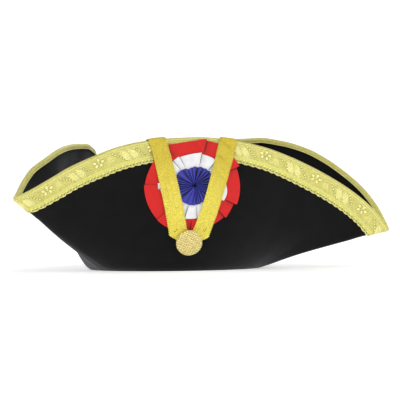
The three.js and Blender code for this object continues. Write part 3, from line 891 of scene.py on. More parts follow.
def slow_waves(points):
    """Soft uneven waves between -1 and 1, as a sum of a few plane waves."""
    draw = np.random.default_rng(WAVES["seed"])
    total = np.zeros(points.shape[:-1])
    for _ in range(WAVES["count"]):
        heading = draw.normal(size=3)
        wave = heading / np.linalg.norm(heading) * 2 * np.pi / draw.uniform(*WAVES["lengths"])
        total += np.sin(points @ wave + draw.uniform(0, 2 * np.pi))
    return total / 4


class HAT_OT_felt(bpy.types.Operator):
    """Builds the felt body: crown and turned-up brim in one piece"""
    bl_idname = "hat.felt"
    bl_label = "Felt body"

    def execute(self, context):
        felt = context.scene.hat_felt
        brim = the_brim(context.scene)
        azimuths = tip_azimuths(TIP_STEPS)
        rings = eased_toe(felt_rings(brim, felt, azimuths), TOE_FIRST, TOE_LAST, TOE_PASSES)
        outward = grid_normals(rings)
        lengths = np.interp(azimuths, brim.azimuths, brim.lengths, period=360)
        depth = np.arange(len(rings))[:, None] / WALL_RINGS * lengths[None, :]
        free = smoothstep(depth, *WAVES["edge"]) * (1 - smoothstep(depth - lengths, *WAVES["base"]))
        rosette = np.linalg.norm(rings - brim.middle, axis=-1)
        free *= smoothstep(rosette, *WAVES["rosette"])
        rings = rings + outward * (felt.unevenness * free * slow_waves(rings))[..., None]
        upper = rings - outward * felt.thickness
        top = brim.polar(np.zeros(1), np.zeros(1), np.zeros(1))[0]
        shell = np.concatenate([rings[::-1], upper])
        count = len(azimuths)
        faces = [tuple(face) for face in flipped(grid_faces(len(shell), count, close_columns=True))]
        points = np.concatenate([shell.reshape(-1, 3), [top + (0, 0, felt.crown_height - felt.thickness)],
                                 [top + (0, 0, felt.crown_height)]])
        under_pole, upper_pole = len(points) - 2, len(points) - 1
        last = (len(shell) - 1) * count
        for k in range(count):
            j = (k + 1) % count
            faces.append((under_pole, k, j))
            faces.append((upper_pole, last + j, last + k))
        mesh = mesh_from("felt", points, faces)
        piece_from(mesh, felt_finish(felt), "black_felt", "felt_body")
        return {"FINISHED"}


EDGE_REACH = 30 * MM


@functools.lru_cache(maxsize=1)
def edge_for(brim):
    return Edge(brim, EDGE_REACH)


BRAID_RELIEF = 0.8 * MM


def braid_top(braid):
    return braid.lift + braid.ground + BRAID_RELIEF


def braid_width(braid):
    """The braid's width, without the rounding error of a size kept as a single float."""
    return round(braid.width, 6)


# One repeat of the woven pattern: along and width in millimetres from the brim's edge, turns in degrees,
# for a braid of this width
DRAWN_WIDTH = 22.0
FLOWER = {"along": 8.0, "width": 6.4, "petals": 5, "reach_along": 4.8, "reach_across": 3.1,
          "half_length": 2.2, "half_width": 1.6, "middle": 1.0}
FAN = {"along": 21.0, "threads": 6, "pitch": 1.2, "top": 3.6, "bottom": 13.8, "spread": 0.6, "thread": 0.7}
DOT_ROWS = (
    {"along": 25.4, "width": 3.2, "step_along": 2.7, "step_width": 1.9, "count": 6},
    {"along": 50.0, "width": 3.2, "step_along": 2.4, "step_width": 1.9, "count": 5},
)
DOT = {"half_length": 1.2, "half_width": 0.95}
LEAVES = ({"along": 39.6, "width": 8.7}, {"along": 48.4, "width": 8.7})
LEAF = {"half_length": 8.0, "half_width": 3.3, "turn": 46.0, "pitch": 1.3, "thread": 1.25}
PATTERN_FROM, PATTERN_TO = 2.9, 14.4
BORDERS = ({"width": 0.3, "size": 1.1}, {"width": 2.2, "size": 0.6}, {"width": 15.0, "size": 0.5})
SCALLOPS_PER_REPEAT = 8
SCALLOP_HANG = 1.6 * MM
# One scallop in millimetres: its two bright bars, the dark hole under each and its slanted stitches
BAR = {"width": 18.0, "half_length": 1.55, "half_width": 0.8, "turn": -8}
HOLE = {"aside": 0.5, "width": 19.55, "half_length": 1.1, "half_width": 0.75}
SLANTED = {"count": 8, "top": 20.2, "bottom": 20.4, "hang": 1.2, "size": 1.1}
# How far the painted shadow pad under a raised stitch reaches past it
SHADOW_PAD = 0.5 * MM
THREAD_SINK = 0.1 * MM
INNER_CORD = {"inset": 0.3 * MM, "size": 0.7 * MM}
BAND_STEPS = 720
CORD_TONE = 0.8


def dome_with_painted_shadow(shapes, spot, half_length, half_width, height, turn, tone, foot, sides=8):
    """A raised stitch on a low dark pad a little wider than it, which is painted shadow round the stitch."""
    shapes.dome(spot, half_length + SHADOW_PAD, half_width + SHADOW_PAD, 0.3 * height, turn, 0.0, foot, sides=sides)
    shapes.dome(spot, half_length, half_width, height, turn, tone, foot, sides=sides)


def flower(shapes, foot):
    x, y = FLOWER["along"] * MM, FLOWER["width"] * MM
    for k in range(FLOWER["petals"]):
        turn = 60 + 360 * k / FLOWER["petals"]
        spot = (x + FLOWER["reach_along"] * MM * math.cos(math.radians(turn)),
                y + FLOWER["reach_across"] * MM * math.sin(math.radians(turn)))
        dome_with_painted_shadow(shapes, spot, FLOWER["half_length"] * MM, FLOWER["half_width"] * MM, BRAID_RELIEF,
                    turn, 1.0, foot, sides=10)
    middle = FLOWER["middle"] * MM
    dome_with_painted_shadow(shapes, (x, y), middle, middle, 0.7 * BRAID_RELIEF, 0, 0.9, foot)


def fan(shapes, foot):
    for k in range(FAN["threads"]):
        across = (k - (FAN["threads"] - 1) / 2) * FAN["pitch"]
        wide = across * (1 + FAN["spread"])
        path = [(FAN["along"] + 0.7 * across, FAN["top"]), (FAN["along"] + 0.75 * across, 7.0),
                (FAN["along"] + 0.3 * across + 0.6 * wide, 10.5), (FAN["along"] + wide, FAN["bottom"])]
        shapes.thread(np.array(path) * MM, FAN["thread"] * MM, 0.75 * BRAID_RELIEF, 0.95, foot)


def leaf(shapes, centre, foot):
    """A slanted leaf filled with long satin threads."""
    turn = math.radians(LEAF["turn"])
    heading, side = np.array([math.cos(turn), math.sin(turn)]), np.array([-math.sin(turn), math.cos(turn)])
    # A low darker dome under the threads, painted shade showing between them
    shapes.dome(centre * MM, LEAF["half_length"] * MM, LEAF["half_width"] * MM, 0.28 * BRAID_RELIEF,
                LEAF["turn"], 0.45, foot, sides=16)
    count = int(2 * LEAF["half_width"] / LEAF["pitch"])
    for k in range(count):
        across = (k - (count - 1) / 2) * LEAF["pitch"]
        half = LEAF["half_length"] * math.sqrt(1 - (across / LEAF["half_width"]) ** 2)
        path = [centre + side * (across + 0.35 * math.sin(math.pi * t)) + heading * half * t
                for t in (-1.0, -0.4, 0.3, 1.0)]
        path = [(along, min(max(width, PATTERN_FROM), PATTERN_TO)) for along, width in path]
        shapes.thread(np.array(path) * MM, LEAF["thread"] * MM, 0.7 * BRAID_RELIEF, 1.0 if k % 2 else 0.9,
                      foot, 0.7)


def braid_motif(foot):
    shapes = Flat()
    flower(shapes, foot)
    fan(shapes, foot)
    for spot in LEAVES:
        leaf(shapes, np.array([spot["along"], spot["width"]]), foot)
    for row in DOT_ROWS:
        for k in range(row["count"]):
            spot = ((row["along"] + k * row["step_along"]) * MM, (row["width"] + k * row["step_width"]) * MM)
            dome_with_painted_shadow(shapes, spot, DOT["half_length"] * MM, DOT["half_width"] * MM, BRAID_RELIEF, 20, 1.0,
                        foot, sides=7)
    return shapes.mesh("braid_motif")


def scallop(pitch, low, high):
    """One scallop of the lower border: two bright bars, a dark hole under each, and slanted stitches out
    to a cut edge that steps back at its end."""
    shapes = Flat()
    for k, tone in ((0, 1.0), (1, 0.75)):
        start = pitch * (k + 0.5) / 2
        shapes.dome((start, BAR["width"] * MM), BAR["half_length"] * MM, BAR["half_width"] * MM,
                    1.1 * BRAID_RELIEF, BAR["turn"], tone, high)
        shapes.dome((start + HOLE["aside"] * MM, HOLE["width"] * MM), HOLE["half_length"] * MM,
                    HOLE["half_width"] * MM, 0.3 * BRAID_RELIEF, 0, 0.0, high)
    shares = (np.arange(SLANTED["count"]) + 0.5) / SLANTED["count"]
    bottoms = SLANTED["bottom"] + SLANTED["hang"] * np.sin(np.pi * shares ** 1.8) ** 0.6
    for k, (share, bottom) in enumerate(zip(shares, bottoms)):
        start = pitch * share
        path = [(start - 0.2 * MM, SLANTED["top"] * MM), (start, (20.3 + bottom) / 2 * MM),
                (start + 0.15 * MM, bottom * MM)]
        shapes.thread(path, SLANTED["size"] * MM, 1.2 * BRAID_RELIEF, 0.95 if k % 3 == 1 else 0.65, low, 0.95)
    rim = [(pitch * share, (bottom + 0.05) * MM) for share, bottom in zip(shares[::2], bottoms[::2])]
    shapes.thread([(0.0, 20.6 * MM), *rim, (pitch, 20.7 * MM)], 0.75 * MM, 1.5 * BRAID_RELIEF, 1.0, low, 0.9)
    return shapes.mesh("scallop")


def closed_band(place, along, section, name, uv=True):
    """A band all the way round: section is a loop of (width, height), place bends it."""
    widths, heights = np.array(section).T
    rows = [place(along, np.full_like(along, w), np.full_like(along, h)) for w, h in zip(widths, heights)]
    faces = grid_faces(len(rows), len(along), close_rows=True, close_columns=True)
    uvs = np.stack([np.tile(along, len(rows)), np.repeat(widths, len(along))], -1) if uv else None
    tones = np.full(len(rows) * len(along), CORD_TONE)
    return mesh_from(name, np.array(rows), flipped(faces), tones, uvs)


class HAT_OT_braid(bpy.types.Operator):
    """Builds the braid: a woven ground, its raised pattern, its border cords and its scallops"""
    bl_idname = "hat.braid"
    bl_label = "Edge braid"

    def execute(self, context):
        braid = context.scene.hat_braid
        brim = the_brim(context.scene)
        edge = edge_for(brim)
        turned_at = braid.lift + braid.ground / 2
        wrap = brim.wrap_length(turned_at)

        def place(along, width, height):
            return edge.bend((along + braid.phase) % edge.total, width, height, turned_at)

        low, high = braid.lift, braid.lift + braid.ground
        wider = braid_width(braid) / (DRAWN_WIDTH * MM)
        ground_end = braid_width(braid) - SCALLOP_HANG
        outer = np.concatenate([np.linspace(ground_end, 0.0, 19), np.linspace(-wrap / 6, -wrap, 6),
                                np.linspace(-wrap - 0.001, -wrap - braid.inner, 6)])
        section = [(width, high) for width in outer] + [(width, low) for width in outer[::-1]]
        along = np.arange(BAND_STEPS) / BAND_STEPS * edge.total
        ground = closed_band(place, along, section, "braid_ground")
        ground_piece = piece_from(ground, ground_finish(braid), "gold_braid", "edge_braid")
        gold, olive = tuple(braid.gold), tuple(braid.olive)
        # The threads' low colour: the dark holes, the darker stitches and cords, and the painted shadow of
        # the pads round raised stitches and under the leaves
        threads = gold_finish("braid_thread", gold, shade(olive, 0.42), 4200)
        repeats = round(edge.total / braid.repeat)
        pitch = edge.total / repeats
        stretch = pitch / braid.repeat
        motif = repeated(braid_motif(high - THREAD_SINK), repeats, braid.repeat, threads)
        motif = moved(motif, lambda a, w, h: place(a * stretch, w * wider, h))
        motif.name = "braid_pattern"
        pattern = piece_from(motif, threads, "gold_braid")
        scallops = repeats * SCALLOPS_PER_REPEAT
        step = edge.total / scallops
        border = repeated(scallop(step, low, high - THREAD_SINK), scallops, step, threads)
        border = moved(border, lambda a, w, h: place(a, w * wider, h))
        border.name = "braid_scallops"
        border_piece = piece_from(border, threads, "gold_braid")
        cords = [closed_band(place, along, cord_section(cord["width"] * wider * MM, cord["size"] * MM, high),
                             f"braid_cord_{k}", uv=False) for k, cord in enumerate(BORDERS)]
        inner = cord_section(-wrap - braid.inner + INNER_CORD["inset"], INNER_CORD["size"], high)
        cords.append(closed_band(place, along, inner, "braid_cord_inner", uv=False))
        cord_pieces = [piece_from(cord, threads, "gold_braid") for cord in cords]
        return {"FINISHED"}


def cord_section(width, size, foot):
    loop = ((-0.5, -0.2), (-0.5, 0.25), (-0.25, 0.62), (0.25, 0.62), (0.5, 0.25), (0.5, -0.2))
    return [(width + size * across, foot + size * rise) for across, rise in reversed(loop)]


# Folds of the pleated discs: the angle of each, anticlockwise from the right, how high its edge stands (a
# share of the disc's lift), how straight the cut edge after it is (0 round, 1 a straight line) and how far
# that edge reaches at its start and at its end (shares of the disc's radius)
RED_FOLDS = (
    (22, 0.9, 0.1, 1.08, 1.06), (47, 0.7, 0.9, 1.13, 1.045), (70.5, 1.0, 1.0, 1.045, 1.055),
    (124, 0.8, 0.1, 0.965, 1.04),
    (178, 0.4, 0.0, 1.045, 1.035), (222, 0.5, 0.0, 1.03, 0.98), (266, 0.8, 0.5, 0.97, 0.94),
    (316, 1.0, 0.7, 0.945, 0.965), (337, 0.9, 0.0, 1.0, 1.03),
)
WHITE_FOLDS = (
    (4, 0.6, 0.5, 1.0, 1.0), (46, 1.0, 0.3, 1.055, 1.02), (74, 1.0, 0.7, 1.03, 0.985),
    (117, 0.8, 0.5, 0.985, 1.0), (131, 0.9, 0.6, 1.015, 1.02), (158, 0.6, 0.2, 1.03, 1.04),
    (175, 0.7, 0.3, 1.12, 1.12), (185, 0.6, 0.3, 1.04, 1.02), (226, 0.6, 0.6, 1.03, 1.0),
    (253, 1.0, 0.6, 1.02, 1.0), (276, 0.8, 0.9, 0.96, 0.96), (333.5, 0.7, -1.0, 1.025, 1.025),
)
# Creases of the gathered blue disc: angle and depth
BLUE_CREASES = (
    (1, 1.0), (12, 0.9), (23, 1.0), (36, 1.0), (45, 0.8), (59, 0.9), (78, 1.0), (96, 0.6), (112, 0.8),
    (124, 0.8), (154, 0.9), (164, 0.7), (173, 0.9), (183, 0.8), (192, 0.9), (203, 0.7), (217, 0.9),
    (243, 0.4), (262, 0.6), (273, 0.9), (281, 0.7), (291, 0.9), (307, 0.8), (320, 0.9), (332, 0.8),
    (341, 0.9), (351, 0.8),
)
DISCS = (
    {"name": "red_pleats", "node": "rosette_red", "slot": "red_ribbon", "inner": 0.0235, "foot": 0.0005,
     "pile": 0.0011, "lift": 0.0014, "free": 0.0335, "flat": (0.0255, 0.300), "folds": RED_FOLDS},
    {"name": "white_pleats", "node": "rosette_white", "slot": "white_ribbon", "inner": 0.0145,
     "foot": 0.0021, "pile": 0.0011, "lift": 0.0012, "free": 0.0193, "flat": (0.019, 0.200),
     "folds": WHITE_FOLDS},
)
BLUE = {"foot": 0.0034, "lift": 0.0016, "puff": 0.0008, "pit": 0.0018, "flat": (0.0185, 0.110)}
# How far the blue disc's edge reaches (a share of its radius) at some angles
BLUE_OUTLINE = (
    (0, 1.04), (35, 1.17), (77, 1.01), (95, 0.97), (108, 0.91), (126, 1.07), (153, 1.12), (180, 1.07),
    (229, 1.07), (265, 1.05), (296, 0.97), (340, 1.0),
)


RIM_SHARES = (0.94, 0.975, 1.0)
RIM_DROP = 0.12 * MM
CREASE_GAP = 0.2
RIDGE_STEPS = 12
SWIRL = 0.10


def fold_profile(folds):
    """Angles round a pleated disc, with the height of the folded cloth, its outline and its tone, which is
    painted shade at the foot of each fold under the next fold's raised edge.
    """
    rows = []
    for k, (start, lift, straight, reach, end_reach) in enumerate(folds):
        end, next_lift = folds[(k + 1) % len(folds)][:2]
        span = (end - start) % 360
        inside = np.linspace(CREASE_GAP, span - CREASE_GAP, max(int(span / 2.5), 5))
        ends = np.array([0.0, 0.4, 0.9, 1.6])
        turns = np.unique(np.concatenate([CREASE_GAP + ends, inside[(inside > 1.9) & (inside < span - 1.9)],
                                          span - CREASE_GAP - ends]))
        for turn in turns:
            share = turn / span
            chord = math.cos(math.radians(span / 2)) / math.cos(math.radians(turn - span / 2))
            height = lift * (1 - share) ** 0.9 + 0.2 * math.sin(math.pi * share)
            height -= 0.25 * lift * math.exp(-((turn - CREASE_GAP) / 0.6) ** 2)
            outline = (reach + (end_reach - reach) * share) * (1 + straight * (chord - 1))
            outline += 0.016 * lift * (1 - share) - 0.012 * next_lift * share
            # Painted shade: the cloth darkened just before the next fold's raised edge, where that edge
            # shades it
            painted_fold_shade = next_lift * math.exp(-((span - turn) / 1.5) ** 2)
            tone = 1 - 0.95 * painted_fold_shade - 0.2 * next_lift * math.exp(-((span - turn) / 7) ** 2)
            rows.append((math.radians(start + turn), height, outline, max(tone, 0.0)))
    return np.array(rows).T


class Panel:
    """Bends what is laid out flat round the rosette's middle onto the hat's panel."""
    OVER_BRAID = 0.0005

    def __init__(self, scene):
        self.brim = the_brim(scene)
        self.braid = scene.hat_braid
        self.turned_at = braid_top(self.braid) + self.OVER_BRAID

    def __call__(self, right, up, height):
        return self.brim.on_panel(right, up, height, self.braid, self.turned_at)


def closed_sheet(name, place, right, up, low, high, uvs, close_columns, tones=None):
    """A thin closed piece between two heights over a grid of flat places."""
    rows, columns = right.shape
    upper = place(right.ravel(), up.ravel(), high.ravel()).reshape(rows, columns, 3)
    under = place(right.ravel(), up.ravel(), low.ravel()).reshape(rows, columns, 3)
    tones = np.ones((rows, columns)) if tones is None else tones
    if close_columns:
        points, both = np.concatenate([upper, under[::-1]]), np.concatenate([uvs, uvs[::-1]])
        shades = np.concatenate([tones, tones[::-1]])
        faces = grid_faces(2 * rows, columns, close_rows=True, close_columns=True)
    else:
        points, both = np.concatenate([upper, under[:, ::-1]], 1), np.concatenate([uvs, uvs[:, ::-1]], 1)
        shades = np.concatenate([tones, tones[:, ::-1]], 1)
        faces = [tuple(face) for face in grid_faces(rows, 2 * columns, close_columns=True)]
        for row in (0, rows - 1):
            for k in range(columns - 1):
                a, b = row * 2 * columns + k, row * 2 * columns + 2 * columns - 1 - k
                face = (a, b, b - 1, a + 1)
                faces.append(face if row == 0 else tuple(reversed(face)))
    mesh = mesh_from(name, points, faces, shades.ravel(), both.reshape(-1, 2))
    return facing_out(mesh)


def facing_out(mesh):
    """Turns a closed mesh's faces outward, by the sign of its volume."""
    corners = np.zeros(len(mesh.vertices) * 3, np.float32)
    mesh.vertices.foreach_get("co", corners)
    points = corners.reshape(-1, 3).astype(float)
    mesh.calc_loop_triangles()
    triangles = np.zeros(len(mesh.loop_triangles) * 3, np.int32)
    mesh.loop_triangles.foreach_get("vertices", triangles)
    a, b, c = (points[triangles.reshape(-1, 3)[:, k]] for k in range(3))
    if (a * np.cross(b, c)).sum() < 0:
        mesh.flip_normals()
    return mesh


class HAT_OT_rosette(bpy.types.Operator):
    """Builds the three pleated discs of the rosette"""
    bl_idname = "hat.rosette"
    bl_label = "Rosette"

    def execute(self, context):
        sizes = context.scene.hat_rosette
        place = Panel(context.scene)
        colours = {"red_pleats": sizes.red, "white_pleats": sizes.white}
        radii = {"red_pleats": sizes.red_radius, "white_pleats": sizes.white_radius}
        for disc in DISCS:
            radius = radii[disc["name"]]
            angles, heights, outline, tone = fold_profile(disc["folds"])
            shares = np.concatenate([np.linspace(0, 0.9, 22), RIM_SHARES])[:, None]
            reach = disc["inner"] + shares * (radius * outline[None, :] - disc["inner"])
            free = smoothstep(reach, disc["free"] + 0.0006, disc["free"] + 0.005)
            lift = disc["lift"] * heights[None, :] * free
            lift = lift - RIM_DROP * smoothstep(shares, 0.95, 1.0)
            low = disc["foot"] + disc["pile"] * (1 - smoothstep(reach, disc["free"] - 0.003, 0.9 * radius))
            low = low + lift
            right, up = reach * np.cos(angles), reach * np.sin(angles)
            uvs = np.stack([np.broadcast_to(angles * radius, reach.shape), reach], -1)
            # Painted shade in the folds, weaker where the disc lies under the one above; the last number
            # given to ribbon_cloth is how dark it gets
            tones = 1 - (1 - tone[None, :]) * (0.25 + 0.75 * free / np.maximum(free.max(), 1e-6))
            mesh = closed_sheet(disc["name"], place, right, up, low, low + sizes.cloth, uvs, True, tones)
            base = tuple(colours[disc["name"]])
            cloth = ribbon_cloth(disc["slot"], base, 0.0009, 0.5, 0.1)
            piece = piece_from(mesh, cloth, disc["slot"], disc["node"])
        self.gathered(sizes, place)
        return {"FINISHED"}

    def gathered(self, sizes, place):
        angles, depths = crease_profile()
        radius = sizes.blue_radius
        reach = radius * np.concatenate([np.linspace(0.035, 0.9, 26), RIM_SHARES])[:, None]
        share = reach / radius
        swirl = angles[None, :] + SWIRL * (1 - share)
        fading = smoothstep(reach, 0.0004, 0.0035) * (1 - 0.6 * smoothstep(share, 0.6, 1.0))
        puff = BLUE["puff"] * np.sin(np.pi * np.clip(share, 0, 1) ** 0.7) ** 0.8
        pit = BLUE["pit"] * (1 - smoothstep(reach, 0.0006, 0.0036))
        high = BLUE["foot"] + BLUE["lift"] + puff - pit - BLUE["lift"] * fading * depths[None, :]
        edge_angles, edge_reach = np.array(BLUE_OUTLINE).T
        outline = np.interp(np.degrees(angles), edge_angles, edge_reach, period=360)
        outline = outline * (1 - 0.03 * depths[None, :] * smoothstep(share, 0.7, 1.0))
        right, up = reach * outline * np.cos(swirl), reach * outline * np.sin(swirl)
        uvs = np.stack([0 * reach + angles * radius, reach + 0 * angles], -1)
        # Painted shade: the blue darkened down in each crease and in the pit at its middle, to 0.03 of its
        # colour
        tones = 1 - depths[None, :] * (1 - 0.3 * smoothstep(share, 0.7, 1.0))
        tones = tones * smoothstep(reach, 0.0005, 0.0028)
        mesh = closed_sheet("blue_gathers", place, right, up, high - sizes.cloth, high, uvs, True, tones)
        cloth = ribbon_cloth("blue_ribbon", tuple(sizes.blue), 0.0007, 0.42, 0.03)
        piece = piece_from(mesh, cloth, "blue_ribbon", "rosette_blue")


def crease_profile():
    """Angles round the gathered disc and how deep the crease is at each, 0 on a ridge and 1 in a crease."""
    angles, depths = [], []
    for k, (start, deep) in enumerate(BLUE_CREASES):
        end, deep_end = BLUE_CREASES[(k + 1) % len(BLUE_CREASES)]
        span = (end - start) % 360
        for share in np.arange(RIDGE_STEPS) / RIDGE_STEPS:
            here = deep if share < 0.5 else deep_end
            angles.append(math.radians(start + span * share))
            depths.append(here * smoothstep(abs(2 * share - 1), 0.75 - 0.6 * here, 1.05 - 0.35 * here))
    return np.array(angles), np.array(depths)


# How much higher a ribbon lies over each disc, and how far past the disc it comes down: from and to
OVER_RED, OVER_WHITE, OVER_BLUE = 2.1 * MM, 1.4 * MM, 2.2 * MM
DOWN_PAST_DISC = (4.5 * MM, 10.5 * MM)
UNDER_RIBBON = 0.4 * MM
# How far past its cut end's outer corner a ribbon's rows turn square to it
CUT_END = 3.0 * MM
# The cross ribs: width as a share of their pitch, height, and the bare lengths before and after them
RIB = {"width": 0.72, "height": 0.22 * MM, "sink": 0.04 * MM, "start": 0.5 * MM, "end": 1.0 * MM}
EDGE_SCALLOP = 0.4 * MM
# Where the ribbons' shade turns darker, along from the V's point
SHADE_FROM, SHADE_TO = 40 * MM, 95 * MM


def over_discs(distance, sizes):
    """Height that a ribbon takes over the pile of discs, eased outside each disc's edge."""
    def step(radius, rise):
        return rise * (1 - smoothstep(distance, radius + DOWN_PAST_DISC[0], radius + DOWN_PAST_DISC[1]))
    return (step(sizes.red_radius, OVER_RED) + step(sizes.white_radius, OVER_WHITE)
            + step(sizes.blue_radius, OVER_BLUE))


class Leg:
    """One leg of the gold V, from flat (along, across from the inner edge, height) to its place."""
    GAP = 0.0002
    SHORTEST, LONGEST = 0.08, 0.13

    def __init__(self, scene, side):
        self.sizes, self.rosette, self.side = scene.hat_ribbon, scene.hat_rosette, side
        self.panel = Panel(scene)
        turn = math.radians(self.sizes.angle)
        self.sin, self.cos = math.sin(turn), math.cos(turn)
        lean = math.radians(self.sizes.lean)
        self.lean = (math.sin(lean), math.cos(lean))

    def spot(self, along, across):
        """Right and up of the rosette's middle."""
        rightward = self.side * (along * self.sin + across * self.cos)
        upward = along * self.cos - across * self.sin
        sin, cos = self.lean
        return (-self.sizes.aside + rightward * cos + upward * sin,
                -self.sizes.below - rightward * sin + upward * cos)

    def inner(self, along):
        """The inner edge, cut along the V's middle line under its point."""
        return np.maximum(0.0, (self.GAP - along * self.sin) / self.cos)

    def start(self, across):
        """The slanted cut end: from the V's point up to the outer corner."""
        share = across / self.sizes.width
        return -self.sizes.point * self.cos * (1 - share) + self.sizes.corner * share

    def __call__(self, along, across, height):
        right, up = self.spot(along, across)
        lifted = height + over_discs(np.hypot(right, up), self.rosette)
        return self.panel(right, up, lifted)

    def reach(self):
        """Length along the middle of the ribbon to the brim's edge."""
        along = np.linspace(self.SHORTEST, self.LONGEST, 200)
        right, up = self.spot(along, np.full_like(along, self.sizes.width / 2))
        _, depth = self.panel.brim.on_chart(right, up)
        return float(np.interp(0, -depth, along))


class HAT_OT_ribbons(bpy.types.Operator):
    """Builds the two ribbed ribbons of the V, with their cross ribs"""
    bl_idname = "hat.ribbons"
    bl_label = "Gold ribbons"

    def execute(self, context):
        sizes = context.scene.hat_ribbon
        gold = tuple(sizes.gold)
        deep = (0.80 * gold[0], 0.73 * gold[1], 0.42 * gold[2])
        cloth = gold_finish("gold_ribbon", gold, deep, 2100, metallic=0.25, dark=0.8)
        for side, name, node in ((-1, "left_ribbon", "ribbon_left"), (1, "right_ribbon", "ribbon_right")):
            leg = Leg(context.scene, side)
            wrap = leg.panel.brim.wrap_length(leg.panel.turned_at)
            end = leg.reach() + (wrap + sizes.tail) / leg.cos
            base = self.strip(leg, sizes, end, name)
            piece = piece_from(base, cloth, "gold_ribbon", node)
            ribs = self.ribs(leg, sizes, end, cloth, name)
            ribs_piece = piece_from(ribs, cloth, "gold_ribbon")
        return {"FINISHED"}

    def strip(self, leg, sizes, end, name):
        step = sizes.rib / 2
        bend = sizes.corner + CUT_END
        rows = np.concatenate([np.linspace(0, 1, 16)[:-1], 1 + np.arange(0, end - bend, step)])
        shares = np.array([0, 0.03, 0.1, 0.2, 0.35, 0.5, 0.65, 0.8, 0.9, 0.97, 1.0])
        flat_along, flat_across = [], []
        for row in rows:
            across = shares * sizes.width
            if row < 1:
                along = leg.start(across) * (1 - row) + bend * row
            else:
                along = np.full_like(across, bend + row - 1)
            inner = leg.inner(along)
            across = inner + shares * (sizes.width - inner)
            wavy = EDGE_SCALLOP * np.sin(along * np.pi / sizes.rib)
            across = across + wavy * (np.abs(shares - 0.5) > 0.49) * np.sign(shares - 0.5)
            flat_along.append(along)
            flat_across.append(across)
        along, across = np.array(flat_along), np.array(flat_across)
        low = np.full_like(along, UNDER_RIBBON)
        edge = 0.3 * sizes.thickness * (np.abs(shares - 0.5) > 0.49)
        high = low + sizes.thickness - edge
        uvs = np.stack([along, across], -1)
        return closed_sheet(name, leg, along, across, low, high, uvs, False, self.fading(along))

    def fading(self, along):
        """The ribbons' shade, paler at the V's point than at the brim's edge."""
        return 1 - 0.9 * smoothstep(along, SHADE_FROM, SHADE_TO)

    def ribs(self, leg, sizes, end, cloth, name):
        shapes = Flat()
        width = sizes.width
        path = [(0, width * share) for share in (0.035, 0.2, 0.4, 0.6, 0.8, 0.965)]
        foot = UNDER_RIBBON + sizes.thickness - RIB["sink"]
        shapes.thread(path, RIB["width"] * sizes.rib, RIB["height"], 1.0, foot, 0.7)
        bend = sizes.corner + CUT_END + RIB["start"]
        count = int((end - bend - RIB["end"]) / sizes.rib)
        mesh = repeated(shapes.mesh("rib"), count, sizes.rib, cloth)
        along = np.zeros(len(mesh.vertices) * 3, np.float32)
        mesh.vertices.foreach_get("co", along)
        mesh.attributes["tone"].data.foreach_set("value", self.fading(along[::3] + bend).astype(np.float32))
        mesh = moved(mesh, lambda a, c, h: leg(a + bend, c, h))
        mesh.name = name + "_ribs"
        return facing_out(mesh)


UNDER_BUTTON = 0.7 * MM
WEAVE_HEIGHT = 0.45 * MM
BUTTON_RINGS, BUTTON_SIDES = 76, 160
BUTTON_PROFILE = ((0.0, 0.0), (0.5, 0.06), (0.8, 0.12), (0.95, 0.22), (1.0, 0.34), (0.985, 0.46),
                  (0.93, 0.61), (0.83, 0.74), (0.68, 0.86), (0.48, 0.945), (0.25, 0.985), (0.0, 1.0))


class HAT_OT_button(bpy.types.Operator):
    """Builds the round button with its dome of woven thread"""
    bl_idname = "hat.button"
    bl_label = "Button"

    def execute(self, context):
        scene = context.scene
        sizes, ribbon = scene.hat_button, scene.hat_ribbon
        brim = the_brim(scene)
        at = brim.on_chart(np.array([-ribbon.aside]), np.array([-ribbon.below]))
        middle, out = brim.look_up(brim.points, *at)[0], unit(brim.look_up(brim.normals, *at))[0]
        right = unit(np.cross((0, 0, 1), out))
        up = np.cross(out, right)
        nearest = math.hypot(ribbon.aside, ribbon.below) - 0.2 * sizes.radius
        foot = UNDER_RIBBON + ribbon.thickness + UNDER_BUTTON + float(over_discs(nearest, scene.hat_rosette))
        profile = np.array(BUTTON_PROFILE)
        steps = np.linspace(0, len(profile) - 1, BUTTON_RINGS + 2)[1:-1]
        reach = np.interp(steps, np.arange(len(profile)), profile[:, 0]) * sizes.radius
        height = foot + np.interp(steps, np.arange(len(profile)), profile[:, 1]) * (sizes.rise - foot)
        turns = np.arange(BUTTON_SIDES) / BUTTON_SIDES * 2 * np.pi
        x, y = reach[:, None] * np.cos(turns), reach[:, None] * np.sin(turns)
        z = height[:, None] + 0 * x
        weave, tone = woven(x, y, sizes.thread)
        dome = smoothstep(z, foot + 0.3 * (sizes.rise - foot), foot + 0.5 * (sizes.rise - foot))
        z = z + WEAVE_HEIGHT * weave * dome
        bulge = 1 + 0.012 * weave * dome
        points = middle + (x * bulge)[..., None] * right + (y * bulge)[..., None] * up + z[..., None] * out
        faces = [tuple(f) for f in grid_faces(len(steps), len(turns), close_columns=True)]
        poles = [middle + foot * out, middle + sizes.rise * out]
        flat_points = np.concatenate([points.reshape(-1, 3), poles])
        tones = np.concatenate([tone.ravel(), [0.5, 0.5]])
        first, last = len(flat_points) - 2, len(flat_points) - 1
        count, top = len(turns), (len(steps) - 1) * len(turns)
        for k in range(count):
            j = (k + 1) % count
            faces.append((first, j, k))
            faces.append((last, top + k, top + j))
        mesh = facing_out(mesh_from("button_dome", flat_points, faces, tones))
        gold = tuple(sizes.gold)
        # Low colour: painted shade in the gaps between the threads
        finish = gold_finish("button_gold", gold, shade(gold, 0.42), 1500, roughness=0.42)
        piece_from(mesh, finish, "button_gold", "button")
        return {"FINISHED"}


